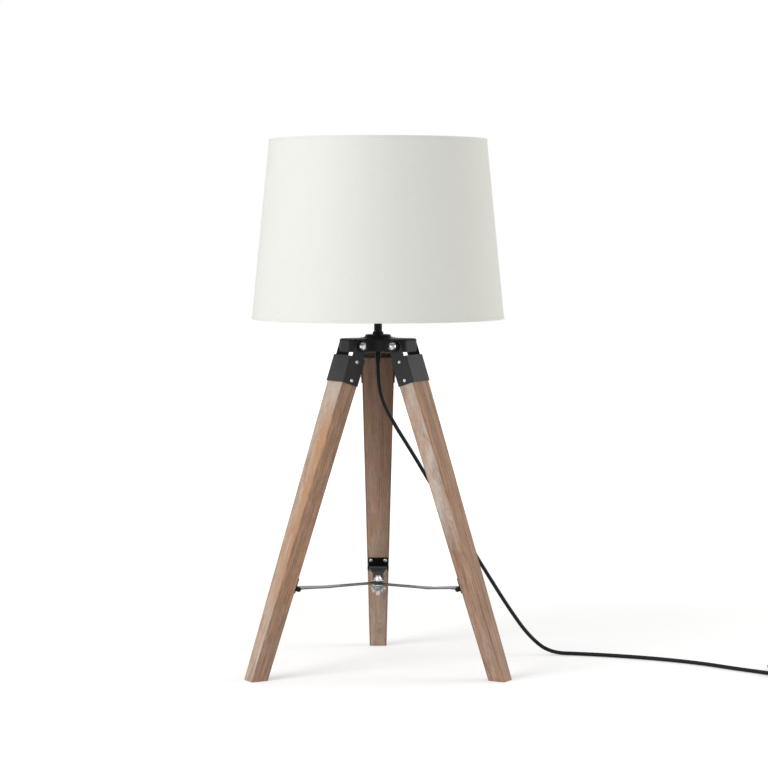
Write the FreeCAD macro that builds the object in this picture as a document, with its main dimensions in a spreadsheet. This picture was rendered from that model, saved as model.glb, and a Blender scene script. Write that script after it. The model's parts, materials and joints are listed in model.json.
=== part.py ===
import FreeCAD, Part
import math
import os
import Sketcher

# Tripod table lamp: a white drum shade over a black three-lobed head, three tapered wooden legs hinged
# on bolts, and a spreader of three slotted strips under one wing nut. Millimetres, +Z up, floor at 0.

DRIVING = {
    # shade
    "shade_low": 438.5,
    "shade_tall": 222.5,
    "shade_low_radius": 157,
    "shade_top_radius": 135,
    "shade_wall": 1.2,
    "shade_wire": 1.5,
    "shade_wire_gap": 0.05,
    "wire_from_rim": 2,
    # head
    "hub_low": 398.5,
    "hub_tall": 16,
    "hub_reach": 48,
    "hub_half": 19.7,
    "hub_wall": 2.5,
    "hub_corner": 10,
    "hub_notch": 12,
    "cap_radius": 16.8,
    "cap_tall": 4.5,
    "collar_radius": 6.7,
    "collar_tall": 3.8,
    "stem_radius": 5,
    "stem_bore": 3.5,
    "stem_low": 405,
    "stem_top": 451,
    "nut_radius": 8,
    "nut_tall": 5,
    "sleeve_low": 384,
    "sleeve_tip": 0.5,
    "sleeve_root": 1.3,
    "spigot_long": 7,
    "cord_radius": 2.5,
    # lampholder and bulb
    "holder_low": 448,
    "holder_radius": 19.5,
    "holder_wall": 2,
    "cap_top": 470,
    "flange_low": 479.5,
    "flange_radius": 24,
    "flange_tall": 3,
    "fitter_radius": 30,
    "fitter_tall": 1.6,
    "spoke_inset": 1.2,
    "ring_nut_radius": 27,
    "ring_nut_tall": 5,
    "ring_nut_edge": 1.5,
    "holder_top": 504,
    "thread_radius": 14.2,
    "thread_wall": 0.8,
    "bulb_low": 480,
    "bulb_cap_radius": 13.2,
    "bulb_cap_top": 506,
    "bulb_waist": 546,
    "bulb_centre": 558,
    "bulb_radius": 30,
    "glass_wall": 1,
    "knob_level": 464,
    "knob_radius": 4.5,
    "knob_long": 9,
    "knob_shaft": 1.5,
    "knob_clear": 1.5,
    "knob_inside": 9,
    # legs, in the frame of the pivot bolt, with distances down the leg
    "pivot_radius": 35.6,
    "pivot_level": 406,
    "lean": 18.6,
    "leg_deep": 21,
    "leg_top_width": 40,
    "leg_foot_width": 22,
    "leg_top": 15.5,
    "leg_taper": 50,
    "leg_long": 428.4,
    "leg_edge": 1.6,
    "sheet": 1.2,
    "bracket_low": 49.5,
    "bracket_bend": 1.6,
    "ear_radius": 8.3,
    "bolt_radius": 3,
    "bolt_head": 6.2,
    "bolt_washer": 0.8,
    "washer_rim": 0.9,
    "dome_tall": 1.5,
    "acorn_hex_tall": 4.5,
    "acorn_radius": 4.96,
    "thread_out": 4,
    "screw_radius": 1.25,
    "screw_head": 2.3,
    "screw_head_tall": 1,
    "screw_long": 9,
    "pilot_deep": 10,
    "screw_upper": 20.5,
    "screw_lower": 44.3,
    # spreader
    "pin_down": 308,
    "pin_out": 3.7,
    "pin_radius": 1.5,
    "pin_head": 0.8,
    "plate_thick": 1,
    "plate_half": 13.1,
    "plate_above": 13,
    "plate_below": 6,
    "plate_screw_in": 4,
    "plate_screw_low": 3.6,
    "lug_radius": 3,
    "eye_radius": 2.6,
    "strip_thick": 1.2,
    "strip_half_leg": 11.7,
    "strip_half_hub": 7,
    "strip_layer": 1.5,
    "crank_start": 12,
    "crank_end": 44,
    "strip_square_to": 8,
    "strip_narrow_from": 60,
    "slot_half": 2.9,
    "close_angle": 10,
    "spindle_radius": 2.5,
    "washer_radius": 6.5,
    "washer_tall": 1,
    "spindle_head": 5.2,
    "spindle_head_tall": 3.6,
    "spindle_dome": 3.5,
    "spindle_tail": 16,
    "wing_collar_tall": 6,
    "wing_collar_low": 3.9,
    "wing_collar_top": 5,
    "wing_radius": 3.6,
    "wing_thick": 1.8,
    "wing_out": 5.5,
    "wing_down": 5.4,
    # clearance of what turns on a pin, and of what slides past another piece
    "running": 0.06,
    "gap": 0.3,
    # plug
    "plug_half_width": 13,
    "plug_half_tall": 7.5,
    "plug_long": 30,
    "plug_boot": 12,
    "plug_boot_radius": 6.2,
    "plug_corner": 4,
    "plug_rim": 2,
    "plug_pin_radius": 2,
    "plug_pin_long": 19,
    "plug_pin_apart": 18.6,
    # coil of the spare cord
    "coil_inner": 21,
    "coil_pitch": 6.6,
    "coil_layer": 5.6,
    "coil_turns": 2.25,
}

SPOKE_AZIMUTHS = (30, 150, 270)

doc = FreeCAD.newDocument("tripod_lamp")
dims = doc.addObject("Spreadsheet::Sheet", "Dims")
for row, (alias, number) in enumerate(DRIVING.items(), start=1):
    dims.set(f"A{row}", alias)
    dims.set(f"B{row}", str(number))
    dims.setAlias(f"B{row}", alias)
doc.recompute()

nodes = {}


def of(expression):
    """The value of an expression on the sheet."""
    return float(dims.evalExpression(expression))


def vec(*xyz):
    return FreeCAD.Vector(*xyz)


def place(at=(0, 0, 0), axis=(0, 0, 1), angle=0):
    return FreeCAD.Placement(vec(*at), FreeCAD.Rotation(vec(*axis), angle))


# ---------------------------------------------------------------- where things are
# The origin is the middle of the whole lamp's footprint, which lies a little in front of the stem,
# because the rear foot reaches further back than the shade does in front.

LEAN = of("Dims.lean")
FOOT_REACH = of("Dims.pivot_radius + Dims.pivot_level * tan(Dims.lean) + Dims.leg_deep / 2 / cos(Dims.lean)")
STEM_Y = (of("Dims.shade_low_radius") - FOOT_REACH) / 2
STEM = place((0, STEM_Y, 0))
AZIMUTHS = {"left": 210, "right": 330, "rear": 90}


def spoke(azimuth):
    """The lamp's frame turned so that +X points along one leg."""
    return STEM.multiply(place(angle=azimuth))


def leg_frame(azimuth):
    """Origin on the pivot bolt, +Z up the leg, +X out of its outer face, +Y along the bolt."""
    pivot = (of("Dims.pivot_radius"), 0, of("Dims.pivot_level"))
    return spoke(azimuth).multiply(place(pivot, (0, 1, 0), -LEAN))


PIN_AT = (-of("Dims.leg_deep / 2 + Dims.plate_thick + Dims.pin_out"), 0, -of("Dims.pin_down"))
PIN = place((of("Dims.pivot_radius"), 0, of("Dims.pivot_level")), (0, 1, 0), -LEAN).multVec(vec(*PIN_AT))


def strip_frame(azimuth):
    """Origin on a strip's hinge pin, +X level towards the stem, +Z up."""
    return spoke(azimuth).multiply(place((PIN.x, 0, PIN.z), angle=180))


SPINDLE = STEM.multiply(place((0, 0, PIN.z - of("Dims.strip_layer"))))


# ---------------------------------------------------------------- ways to make a piece
def solid(kind, name, at=(0, 0, 0), axis=(0, 0, 1), angle=0, **sizes):
    """A primitive whose sizes are expressions on the sheet."""
    piece = doc.addObject("Part::" + kind, name)
    for size, expression in sizes.items():
        piece.setExpression(size, expression)
    piece.Placement = place(at, axis, angle)
    return piece


def fused(name, *pieces):
    piece = doc.addObject("Part::MultiFuse", name)
    piece.Shapes = list(pieces)
    return piece


def cut(name, base, *tools):
    piece = doc.addObject("Part::Cut", name)
    piece.Base = base
    piece.Tool = tools[0] if len(tools) == 1 else fused(name + "_tools", *tools)
    return piece


def group(name, *pieces):
    """Separate solids that share a node."""
    piece = doc.addObject("Part::Compound", name)
    piece.Links = list(pieces)
    return piece


def drawn(body, name, role, corners):
    """A closed sketch of straight lines on one of the body's planes, each corner held by the sheet."""
    sketch = body.newObject("Sketcher::SketchObject", name)
    plane = next(f for f in body.Origin.OriginFeatures if f.Role == role)
    sketch.AttachmentSupport = [(plane, "")]
    sketch.MapMode = "FlatFace"
    points = [vec(of(x), of(y), 0) for x, y in corners]
    for i, point in enumerate(points):
        sketch.addGeometry(Part.LineSegment(point, points[(i + 1) % len(points)]), False)
    for i in range(len(points)):
        sketch.addConstraint(Sketcher.Constraint("Coincident", i, 2, (i + 1) % len(points), 1))
    for i, corner in enumerate(corners):
        for kind, expression in zip(("DistanceX", "DistanceY"), corner):
            number = sketch.addConstraint(Sketcher.Constraint(kind, -1, 1, i, 1, of(expression)))
            sketch.setExpression(f"Constraints[{number}]", expression)
    return sketch


def turned(name, corners):
    """A body turned about the stem's axis from corners (radius, level)."""
    body = doc.addObject("PartDesign::Body", name)
    sketch = drawn(body, name + "_section", "XZ_Plane", corners)
    turn = body.newObject("PartDesign::Revolution", name + "_turn")
    turn.Profile = sketch
    turn.ReferenceAxis = (sketch, ["V_Axis"])
    turn.Angle = 360
    return body


def padded(name, role, corners, length, symmetric=False):
    """A body raised from a sketch."""
    body = doc.addObject("PartDesign::Body", name)
    pad = body.newObject("PartDesign::Pad", name + "_pad")
    pad.Profile = drawn(body, name + "_outline", role, corners)
    pad.setExpression("Length", length)
    pad.SideType = "Symmetric" if symmetric else "One side"
    return body


def eased(body, name, radius, wanted):
    """Rounds the edges of the body's tip that wanted(edge) picks."""
    doc.recompute()
    tip = body.Tip
    names = [f"Edge{i}" for i, edge in enumerate(tip.Shape.Edges, start=1) if wanted(edge)]
    fillet = body.newObject("PartDesign::Fillet", name)
    fillet.Base = (tip, names)
    fillet.setExpression("Radius", radius)
    return body


def runs_along(edge, axis):
    """Whether a straight edge is parallel to an axis."""
    if edge.Curve.TypeId != "Part::GeomLine":
        return False
    return abs(edge.tangentAt(edge.FirstParameter).dot(vec(*axis))) > 0.99


def node(name, piece, frame=None):
    """Registers a finished sub-part under its node's name, in its place."""
    piece.Label = name
    if frame is not None:
        piece.Placement = frame
    nodes[name] = piece


# ---------------------------------------------------------------- shade
def shade():
    slope = "(Dims.shade_low_radius - Dims.shade_top_radius) / Dims.shade_tall"
    top = "Dims.shade_low + Dims.shade_tall"
    wall = turned(
        "shade_wall_turned",
        [
            ("Dims.shade_low_radius - Dims.shade_wall", "Dims.shade_low"),
            ("Dims.shade_low_radius", "Dims.shade_low"),
            ("Dims.shade_top_radius", top),
            ("Dims.shade_top_radius - Dims.shade_wall", top),
        ],
    )
    node("shade", wall, STEM)

    inside = "(Dims.shade_wall + Dims.shade_wire + Dims.shade_wire_gap)"
    low_ring = f"Dims.shade_low_radius - {slope} * Dims.wire_from_rim - {inside}"
    top_ring = f"Dims.shade_top_radius + {slope} * Dims.wire_from_rim - {inside}"
    for name, radius, level in (
        ("shade_wire_low", low_ring, of("Dims.shade_low + Dims.wire_from_rim")),
        ("shade_wire_top", top_ring, of(f"{top} - Dims.wire_from_rim")),
    ):
        wire = solid("Torus", name + "_ring", Radius1=radius, Radius2="Dims.shade_wire")
        node(name, wire, STEM.multiply(place((0, 0, level))))

    seat = of("Dims.flange_low + Dims.flange_tall")
    level = seat + of("Dims.fitter_tall / 2")
    disc = solid("Cylinder", "fitter_disc", (0, 0, seat), Radius="Dims.fitter_radius")
    disc.setExpression("Height", "Dims.fitter_tall")
    bore = solid("Cylinder", "fitter_bore", (0, 0, seat - 1), Radius="Dims.holder_radius")
    bore.setExpression("Height", "Dims.fitter_tall + 2")
    ring = cut("fitter_ring", disc, bore)
    # each spoke of the fitter runs straight from the ring's rim down to the side of the lower wire
    start = vec(of("Dims.fitter_radius - Dims.spoke_inset"), 0, level)
    end = vec(of(low_ring), 0, of("Dims.shade_low + Dims.wire_from_rim"))
    fall = math.degrees(math.atan2(end.x - start.x, end.z - start.z))
    arms = []
    for azimuth in SPOKE_AZIMUTHS:
        arm = solid("Cylinder", f"fitter_spoke_{azimuth}", Radius="Dims.shade_wire")
        arm.Height = (end - start).Length - of("Dims.shade_wire + Dims.shade_wire_gap")
        arm.Placement = place(angle=azimuth).multiply(place(tuple(start), (0, 1, 0), fall))
        arms.append(arm)
    node("shade_fitter", fused("fitter_whole", ring, *arms), STEM)

    low = "Dims.flange_low + Dims.flange_tall + Dims.fitter_tall"
    nut = turned(
        "shade_ring_turned",
        [
            ("Dims.holder_radius", low),
            ("Dims.ring_nut_radius", low),
            ("Dims.ring_nut_radius", f"{low} + Dims.ring_nut_tall - Dims.ring_nut_edge"),
            ("Dims.ring_nut_radius - Dims.ring_nut_edge", f"{low} + Dims.ring_nut_tall"),
            ("Dims.holder_radius", f"{low} + Dims.ring_nut_tall"),
        ],
    )
    node("shade_ring_nut", nut, STEM)


# ---------------------------------------------------------------- head
def lobes(reach, half):
    """Corners of a three-lobed outline: two at the end of each lobe, and one between two lobes."""
    corners = []
    for azimuth in (90, 210, 330):
        for side in (-1, 1):
            corners.append(
                (
                    f"({reach}) * cos({azimuth}) - {side} * ({half}) * sin({azimuth})",
                    f"({reach}) * sin({azimuth}) + {side} * ({half}) * cos({azimuth})",
                )
            )
        between = azimuth + 60
        corners.append(
            (f"({half}) / sin(60) * cos({between})", f"({half}) / sin(60) * sin({between})")
        )
    return corners


def upright_at(radius):
    """Picks upright edges further out than a radius, or nearer in when it is negative."""

    def wanted(edge):
        point = edge.CenterOfMass
        out = math.hypot(point.x, point.y)
        return runs_along(edge, (0, 0, 1)) and (out > radius if radius > 0 else out < -radius)

    return wanted


def hub():
    tall = of("Dims.hub_tall")
    body = padded("hub_cast", "XY_Plane", lobes("Dims.hub_reach", "Dims.hub_half"), "Dims.hub_tall")
    eased(body, "hub_ends", "Dims.hub_corner", upright_at(40))
    eased(body, "hub_notches", "Dims.hub_notch", upright_at(-40))
    eased(body, "hub_brow", "Dims.hub_wall", lambda edge: edge.BoundBox.ZMin > tall - 0.01)
    hollow = padded(
        "hub_hollow",
        "XY_Plane",
        lobes("Dims.hub_reach - Dims.hub_wall", "Dims.hub_half - Dims.hub_wall"),
        "Dims.hub_tall - Dims.hub_wall",
    )
    eased(hollow, "hollow_ends", "Dims.hub_corner - Dims.hub_wall", upright_at(40))
    eased(hollow, "hollow_notches", "Dims.hub_notch + Dims.hub_wall", upright_at(-40))
    bores = [solid("Cylinder", "hub_stem_bore", Radius="Dims.stem_radius", Height="Dims.hub_tall + 1")]
    across = of("Dims.hub_half + 2")
    for azimuth in AZIMUTHS.values():
        bore = solid("Cylinder", f"hub_bolt_bore_{azimuth}", Radius="Dims.bolt_radius")
        bore.Height = 2 * across
        start = (of("Dims.pivot_radius"), across, of("Dims.pivot_level - Dims.hub_low"))
        bore.Placement = place(angle=azimuth).multiply(place(start, (1, 0, 0), 90))
        bores.append(bore)
    shell = cut("hub_whole", body, hollow, *bores)
    node("hub", shell, STEM.multiply(place((0, 0, of("Dims.hub_low")))))


def head_fittings():
    top = "Dims.hub_low + Dims.hub_tall"
    cap = turned(
        "cap_turned",
        [
            ("Dims.stem_radius", top),
            ("Dims.cap_radius", top),
            ("Dims.cap_radius - 1", f"{top} + Dims.cap_tall - 1"),
            ("Dims.cap_radius - 2", f"{top} + Dims.cap_tall"),
            ("Dims.stem_radius", f"{top} + Dims.cap_tall"),
        ],
    )
    node("hub_cap", cap, STEM)

    seat = f"{top} + Dims.cap_tall"
    collar = turned(
        "collar_turned",
        [
            ("Dims.stem_radius", seat),
            ("Dims.collar_radius", seat),
            ("Dims.collar_radius", f"{seat} + Dims.collar_tall - 1.4"),
            ("Dims.collar_radius - 1.2", f"{seat} + Dims.collar_tall"),
            ("Dims.stem_radius", f"{seat} + Dims.collar_tall"),
        ],
    )
    node("stem_collar", collar, STEM)

    stem = turned(
        "stem_turned",
        [
            ("Dims.stem_bore", "Dims.stem_low"),
            ("Dims.stem_radius", "Dims.stem_low"),
            ("Dims.stem_radius", "Dims.stem_top"),
            ("Dims.stem_bore", "Dims.stem_top"),
        ],
    )
    node("stem_tube", stem, STEM)

    low = of(f"{top} - Dims.hub_wall - Dims.nut_tall")
    hexagon = solid("Prism", "lock_nut_hex", (0, 0, low), Circumradius="Dims.nut_radius")
    hexagon.setExpression("Height", "Dims.nut_tall")
    bore = solid("Cylinder", "lock_nut_bore", (0, 0, low - 1), Radius="Dims.stem_radius")
    bore.setExpression("Height", "Dims.nut_tall + 2")
    node("lock_nut", cut("lock_nut_cut", hexagon, bore), STEM)

    # the sleeve's spigot sits in the stem and its tapered tail guards the cord
    sleeve = turned(
        "sleeve_turned",
        [
            ("Dims.cord_radius", "Dims.sleeve_low"),
            ("Dims.cord_radius + Dims.sleeve_tip", "Dims.sleeve_low"),
            ("Dims.cord_radius + Dims.sleeve_root", "Dims.stem_low - 4"),
            ("Dims.stem_radius", "Dims.stem_low - 3"),
            ("Dims.stem_radius", "Dims.stem_low"),
            ("Dims.stem_bore", "Dims.stem_low"),
            ("Dims.stem_bore", "Dims.stem_low + Dims.spigot_long"),
            ("Dims.cord_radius", "Dims.stem_low + Dims.spigot_long"),
        ],
    )
    node("cord_sleeve", sleeve, STEM)

    inside = solid("Cylinder", "inner_cord_run", Radius="Dims.cord_radius")
    inside.setExpression("Height", "Dims.stem_top - Dims.sleeve_low")
    node("inner_cord", inside, STEM.multiply(place((0, 0, of("Dims.sleeve_low")))))


def lampholder():
    wall = "Dims.holder_radius - Dims.holder_wall"
    cup = turned(
        "holder_cup_turned",
        [
            ("Dims.stem_radius", "Dims.holder_low"),
            ("Dims.stem_radius + 5", "Dims.holder_low"),
            ("Dims.holder_radius", "Dims.holder_low + 9"),
            ("Dims.holder_radius", "Dims.cap_top"),
            (wall, "Dims.cap_top"),
            (wall, "Dims.holder_low + 10"),
            ("Dims.stem_radius + 4", "Dims.holder_low + 3"),
            ("Dims.stem_radius", "Dims.holder_low + 3"),
        ],
    )
    hole = solid("Cylinder", "knob_bore", Radius="Dims.knob_shaft + Dims.running")
    hole.setExpression("Height", "Dims.holder_radius")
    hole.Placement = place((of("Dims.knob_shaft * 8"), 0, of("Dims.knob_level")), (0, 1, 0), 90)
    node("holder_cup", cut("holder_cup_cut", cup, hole), STEM)

    flange = "Dims.flange_low + Dims.flange_tall"
    shell = turned(
        "holder_shell_turned",
        [
            ("Dims.knob_radius", "Dims.cap_top"),
            ("Dims.holder_radius", "Dims.cap_top"),
            ("Dims.holder_radius", "Dims.flange_low"),
            ("Dims.flange_radius", "Dims.flange_low"),
            ("Dims.flange_radius", flange),
            ("Dims.holder_radius", flange),
            ("Dims.holder_radius", "Dims.holder_top"),
            ("Dims.thread_radius", "Dims.holder_top"),
            ("Dims.thread_radius", "Dims.cap_top + 4"),
            ("Dims.knob_radius", "Dims.cap_top + 4"),
        ],
    )
    node("holder_shell", shell, STEM)

    thread = turned(
        "thread_turned",
        [
            ("Dims.thread_radius - Dims.thread_wall", "Dims.cap_top + 6"),
            ("Dims.thread_radius", "Dims.cap_top + 6"),
            ("Dims.thread_radius", "Dims.holder_top - 1"),
            ("Dims.thread_radius - Dims.thread_wall", "Dims.holder_top - 1"),
        ],
    )
    node("screw_shell", thread, STEM)

    contact = solid("Cylinder", "contact_post", Radius="Dims.knob_radius")
    contact.setExpression("Height", "Dims.bulb_low - Dims.cap_top")
    node("centre_contact", contact, STEM.multiply(place((0, 0, of("Dims.cap_top")))))

    # the switch knob turns on its shaft in the wall of the cup
    out = of("Dims.holder_radius + Dims.knob_clear")
    inner = of("Dims.holder_radius - Dims.knob_inside")
    shaft = solid("Cylinder", "knob_shaft", (0, 0, inner), Radius="Dims.knob_shaft")
    shaft.Height = out - inner + 1
    grip = solid("Prism", "knob_grip", (0, 0, out), Circumradius="Dims.knob_radius", Height="Dims.knob_long")
    grip.Polygon = 12
    turn = STEM.multiply(place((0, 0, of("Dims.knob_level")), (0, 1, 0), 90))
    node("switch_knob", fused("knob_whole", shaft, grip), turn)


def bulb():
    cap = turned(
        "bulb_cap_turned",
        [
            ("0", "Dims.bulb_low"),
            ("Dims.bulb_cap_radius * 0.3", "Dims.bulb_low"),
            ("Dims.bulb_cap_radius * 0.7", "Dims.bulb_low + 3.5"),
            ("Dims.bulb_cap_radius", "Dims.bulb_low + 5"),
            ("Dims.bulb_cap_radius", "Dims.bulb_cap_top"),
            ("0", "Dims.bulb_cap_top"),
        ],
    )
    node("bulb_cap", cap, STEM)

    rise = "Dims.bulb_waist - Dims.bulb_cap_top"
    halves = {}
    for name, thin in (("glass_outer", "0"), ("glass_inner", "Dims.glass_wall")):
        ball = f"(Dims.bulb_radius - {thin})"
        neck = solid(
            "Cone",
            name + "_neck",
            (0, 0, of("Dims.bulb_cap_top")),
            Radius1=f"Dims.bulb_cap_radius - {thin}",
            Radius2=f"sqrt({ball} ^ 2 - (Dims.bulb_centre - Dims.bulb_waist) ^ 2)",
            Height=rise,
        )
        globe = solid("Sphere", name + "_globe", (0, 0, of("Dims.bulb_centre")), Radius=ball)
        halves[name] = fused(name, neck, globe)
    node("bulb_glass", cut("glass_cut", halves["glass_outer"], halves["glass_inner"]), STEM)


# ---------------------------------------------------------------- pivot bolts
def pivot_bolts():
    """A bolt through each lobe, with a domed head on one side, an acorn nut on the other, and washers."""
    cheek = of("Dims.leg_top_width / 2 + Dims.sheet + Dims.gap")
    seat = cheek + of("Dims.bolt_washer")
    thread = of("Dims.thread_out")
    depth = of("Dims.acorn_hex_tall")
    bolts, nuts, washers = [], [], []
    for side, azimuth in AZIMUTHS.items():
        shank = solid("Cylinder", f"bolt_shank_{side}", (0, 0, -seat - thread), Radius="Dims.bolt_radius")
        shank.Height = 2 * seat + thread + 1
        head = solid("Prism", f"bolt_hex_{side}", (0, 0, seat), Circumradius="Dims.bolt_head")
        head.setExpression("Height", "Dims.bolt_radius")
        dome = solid(
            "Cone",
            f"bolt_dome_{side}",
            (0, 0, seat + of("Dims.bolt_radius")),
            Radius1="Dims.bolt_head * 0.82",
            Radius2="Dims.bolt_head * 0.5",
            Height="Dims.dome_tall",
        )
        bolt = fused(f"bolt_{side}", shank, head, dome)

        hexagon = solid("Prism", f"nut_hex_{side}", (0, 0, -seat - depth), Circumradius="Dims.bolt_head")
        hexagon.setExpression("Height", "Dims.acorn_hex_tall")
        acorn = solid("Sphere", f"nut_acorn_{side}", (0, 0, -seat - depth), Radius="Dims.acorn_radius")
        hole = solid("Cylinder", f"nut_bore_{side}", (0, 0, -seat - thread), Radius="Dims.bolt_radius")
        hole.setExpression("Height", "2 * Dims.thread_out")
        nut = cut(f"nut_{side}", fused(f"nut_body_{side}", hexagon, acorn), hole)

        frame = leg_frame(azimuth).multiply(place(axis=(1, 0, 0), angle=-90))
        for way, low in ((1, cheek), (-1, -seat)):
            disc = solid("Cylinder", f"pivot_disc_{side}_{way}", (0, 0, low))
            disc.setExpression("Radius", "Dims.bolt_head + Dims.washer_rim")
            disc.setExpression("Height", "Dims.bolt_washer")
            bore = solid("Cylinder", f"pivot_hole_{side}_{way}", (0, 0, low - 1), Radius="Dims.bolt_radius")
            bore.setExpression("Height", "Dims.bolt_washer + 2")
            washer = cut(f"pivot_washer_{side}_{way}", disc, bore)
            washer.Placement = frame
            washers.append(washer)
        bolt.Placement = frame
        nut.Placement = frame
        bolts.append(bolt)
        nuts.append(nut)
    node("pivot_bolts", group("all_bolts", *bolts))
    node("acorn_nuts", group("all_nuts", *nuts))
    node("pivot_washers", group("all_washers", *washers))


# ---------------------------------------------------------------- legs
def screw(name, at, axis, angle):
    """A pan-headed screw whose head stands on its seat and whose shank points down -Z."""
    head = solid("Cone", name + "_head", Radius1="Dims.screw_head", Radius2="Dims.screw_head * 0.7")
    head.setExpression("Height", "Dims.screw_head_tall")
    stem = solid("Cylinder", name + "_shank", (0, 0, -of("Dims.screw_long")), Radius="Dims.screw_radius")
    stem.setExpression("Height", "Dims.screw_long")
    whole = fused(name, head, stem)
    whole.Placement = place(at, axis, angle)
    return whole


def drill(name, at, axis, angle, depth):
    """The hole that a screw fills, a little longer than its shank at the seat."""
    hole = solid("Cylinder", name, Radius="Dims.screw_radius")
    hole.Height = depth + 2
    hole.Placement = place(at, axis, angle).multiply(place((0, 0, -depth)))
    return hole


def screw_seats():
    """Where a bracket's four screws stand: (place, axis, angle) for each."""
    half = of("Dims.leg_top_width / 2 + Dims.sheet")
    for down in (of("Dims.screw_upper"), of("Dims.screw_lower")):
        for way in (-1, 1):
            yield (0, way * half, -down), (1, 0, 0), -90 * way


def plate_seats():
    """Where a hinge plate's two screws stand."""
    face = -of("Dims.leg_deep / 2 + Dims.plate_thick")
    across = of("Dims.plate_half - Dims.plate_screw_in")
    down = of("Dims.pin_down - Dims.plate_above + Dims.plate_screw_low")
    for way in (-1, 1):
        yield (face, way * across, -down), (0, 1, 0), -90


def wooden_leg(side, frame):
    spill = "(Dims.leg_long + 30)"
    spill_half = (
        f"(Dims.leg_top_width - (Dims.leg_top_width - Dims.leg_foot_width)"
        f" * ({spill} - Dims.leg_taper) / (Dims.leg_long - Dims.leg_taper)) / 2"
    )
    half = "Dims.leg_top_width / 2"
    body = padded(
        f"leg_{side}_blank",
        "YZ_Plane",
        [
            (f"-{half}", "-Dims.leg_top"),
            (f"-{half}", "-Dims.leg_taper"),
            (f"-({spill_half})", f"-{spill}"),
            (spill_half, f"-{spill}"),
            (half, "-Dims.leg_taper"),
            (half, "-Dims.leg_top"),
        ],
        "Dims.leg_deep",
        symmetric=True,
    )
    eased(body, f"leg_{side}_edges", "Dims.leg_edge", lambda edge: runs_along(edge, (0, 0, 1)))

    # everything below the floor is sawn off, level when the leg stands
    floor = solid("Box", f"leg_{side}_floor", Length="200", Width="80", Height="80")
    to_leg = place((of("Dims.pivot_radius"), 0, of("Dims.pivot_level")), (0, 1, 0), -LEAN).inverse()
    floor.Placement = to_leg.multiply(place((60, -40, -80)))
    tools = [floor]
    deep = of("Dims.pilot_deep")
    for number, seat in enumerate(screw_seats()):
        tools.append(drill(f"leg_{side}_pilot_{number}", *seat, deep))
    for number, seat in enumerate(plate_seats()):
        tools.append(drill(f"leg_{side}_plate_pilot_{number}", *seat, deep))
    node(f"leg_{side}", cut(f"leg_{side}_cut", body, *tools), frame)


def bracket(side, frame):
    """A folded sheet around the leg's head, whose two ears turn on the pivot bolt."""
    half = of("Dims.leg_top_width / 2")
    deep = of("Dims.leg_deep / 2")
    low = of("Dims.bracket_low")
    ear = of("Dims.ear_radius")
    sleeve = padded(
        f"bracket_{side}_sleeve",
        "XY_Plane",
        [
            ("-Dims.leg_deep / 2", "-Dims.leg_top_width / 2 - Dims.sheet"),
            ("Dims.leg_deep / 2 + Dims.sheet", "-Dims.leg_top_width / 2 - Dims.sheet"),
            ("Dims.leg_deep / 2 + Dims.sheet", "Dims.leg_top_width / 2 + Dims.sheet"),
            ("-Dims.leg_deep / 2", "Dims.leg_top_width / 2 + Dims.sheet"),
            ("-Dims.leg_deep / 2", "Dims.leg_top_width / 2"),
            ("Dims.leg_deep / 2", "Dims.leg_top_width / 2"),
            ("Dims.leg_deep / 2", "-Dims.leg_top_width / 2"),
            ("-Dims.leg_deep / 2", "-Dims.leg_top_width / 2"),
        ],
        "Dims.bracket_low - Dims.leg_top",
    )
    eased(
        body=sleeve,
        name=f"bracket_{side}_bends",
        radius="Dims.bracket_bend",
        wanted=lambda edge: runs_along(edge, (0, 0, 1)) and edge.CenterOfMass.x > deep + 0.1,
    )
    sleeve.Placement = place((0, 0, -low))
    parts = [sleeve]
    for way in (-1, 1):
        start = half if way > 0 else -half - of("Dims.sheet")
        lower = solid("Box", f"bracket_{side}_ear_{way}", (-ear, start, -of("Dims.leg_top")))
        lower.setExpression("Length", "2 * Dims.ear_radius")
        lower.setExpression("Width", "Dims.sheet")
        lower.setExpression("Height", "Dims.leg_top")
        upper = solid("Cylinder", f"bracket_{side}_eye_{way}", Radius="Dims.ear_radius", Height="Dims.sheet")
        upper.Placement = place((0, start + of("Dims.sheet"), 0), (1, 0, 0), 90)
        parts += [lower, upper]
    bore = solid("Cylinder", f"bracket_{side}_bore", Radius="Dims.bolt_radius + Dims.running", Height="60")
    bore.Placement = place((0, 30, 0), (1, 0, 0), 90)
    tools = [bore]
    for number, seat in enumerate(screw_seats()):
        tools.append(drill(f"bracket_{side}_hole_{number}", *seat, 4))
    node(f"bracket_{side}", cut(f"bracket_{side}_cut", fused(f"bracket_{side}_sheet", *parts), *tools), frame)


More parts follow.
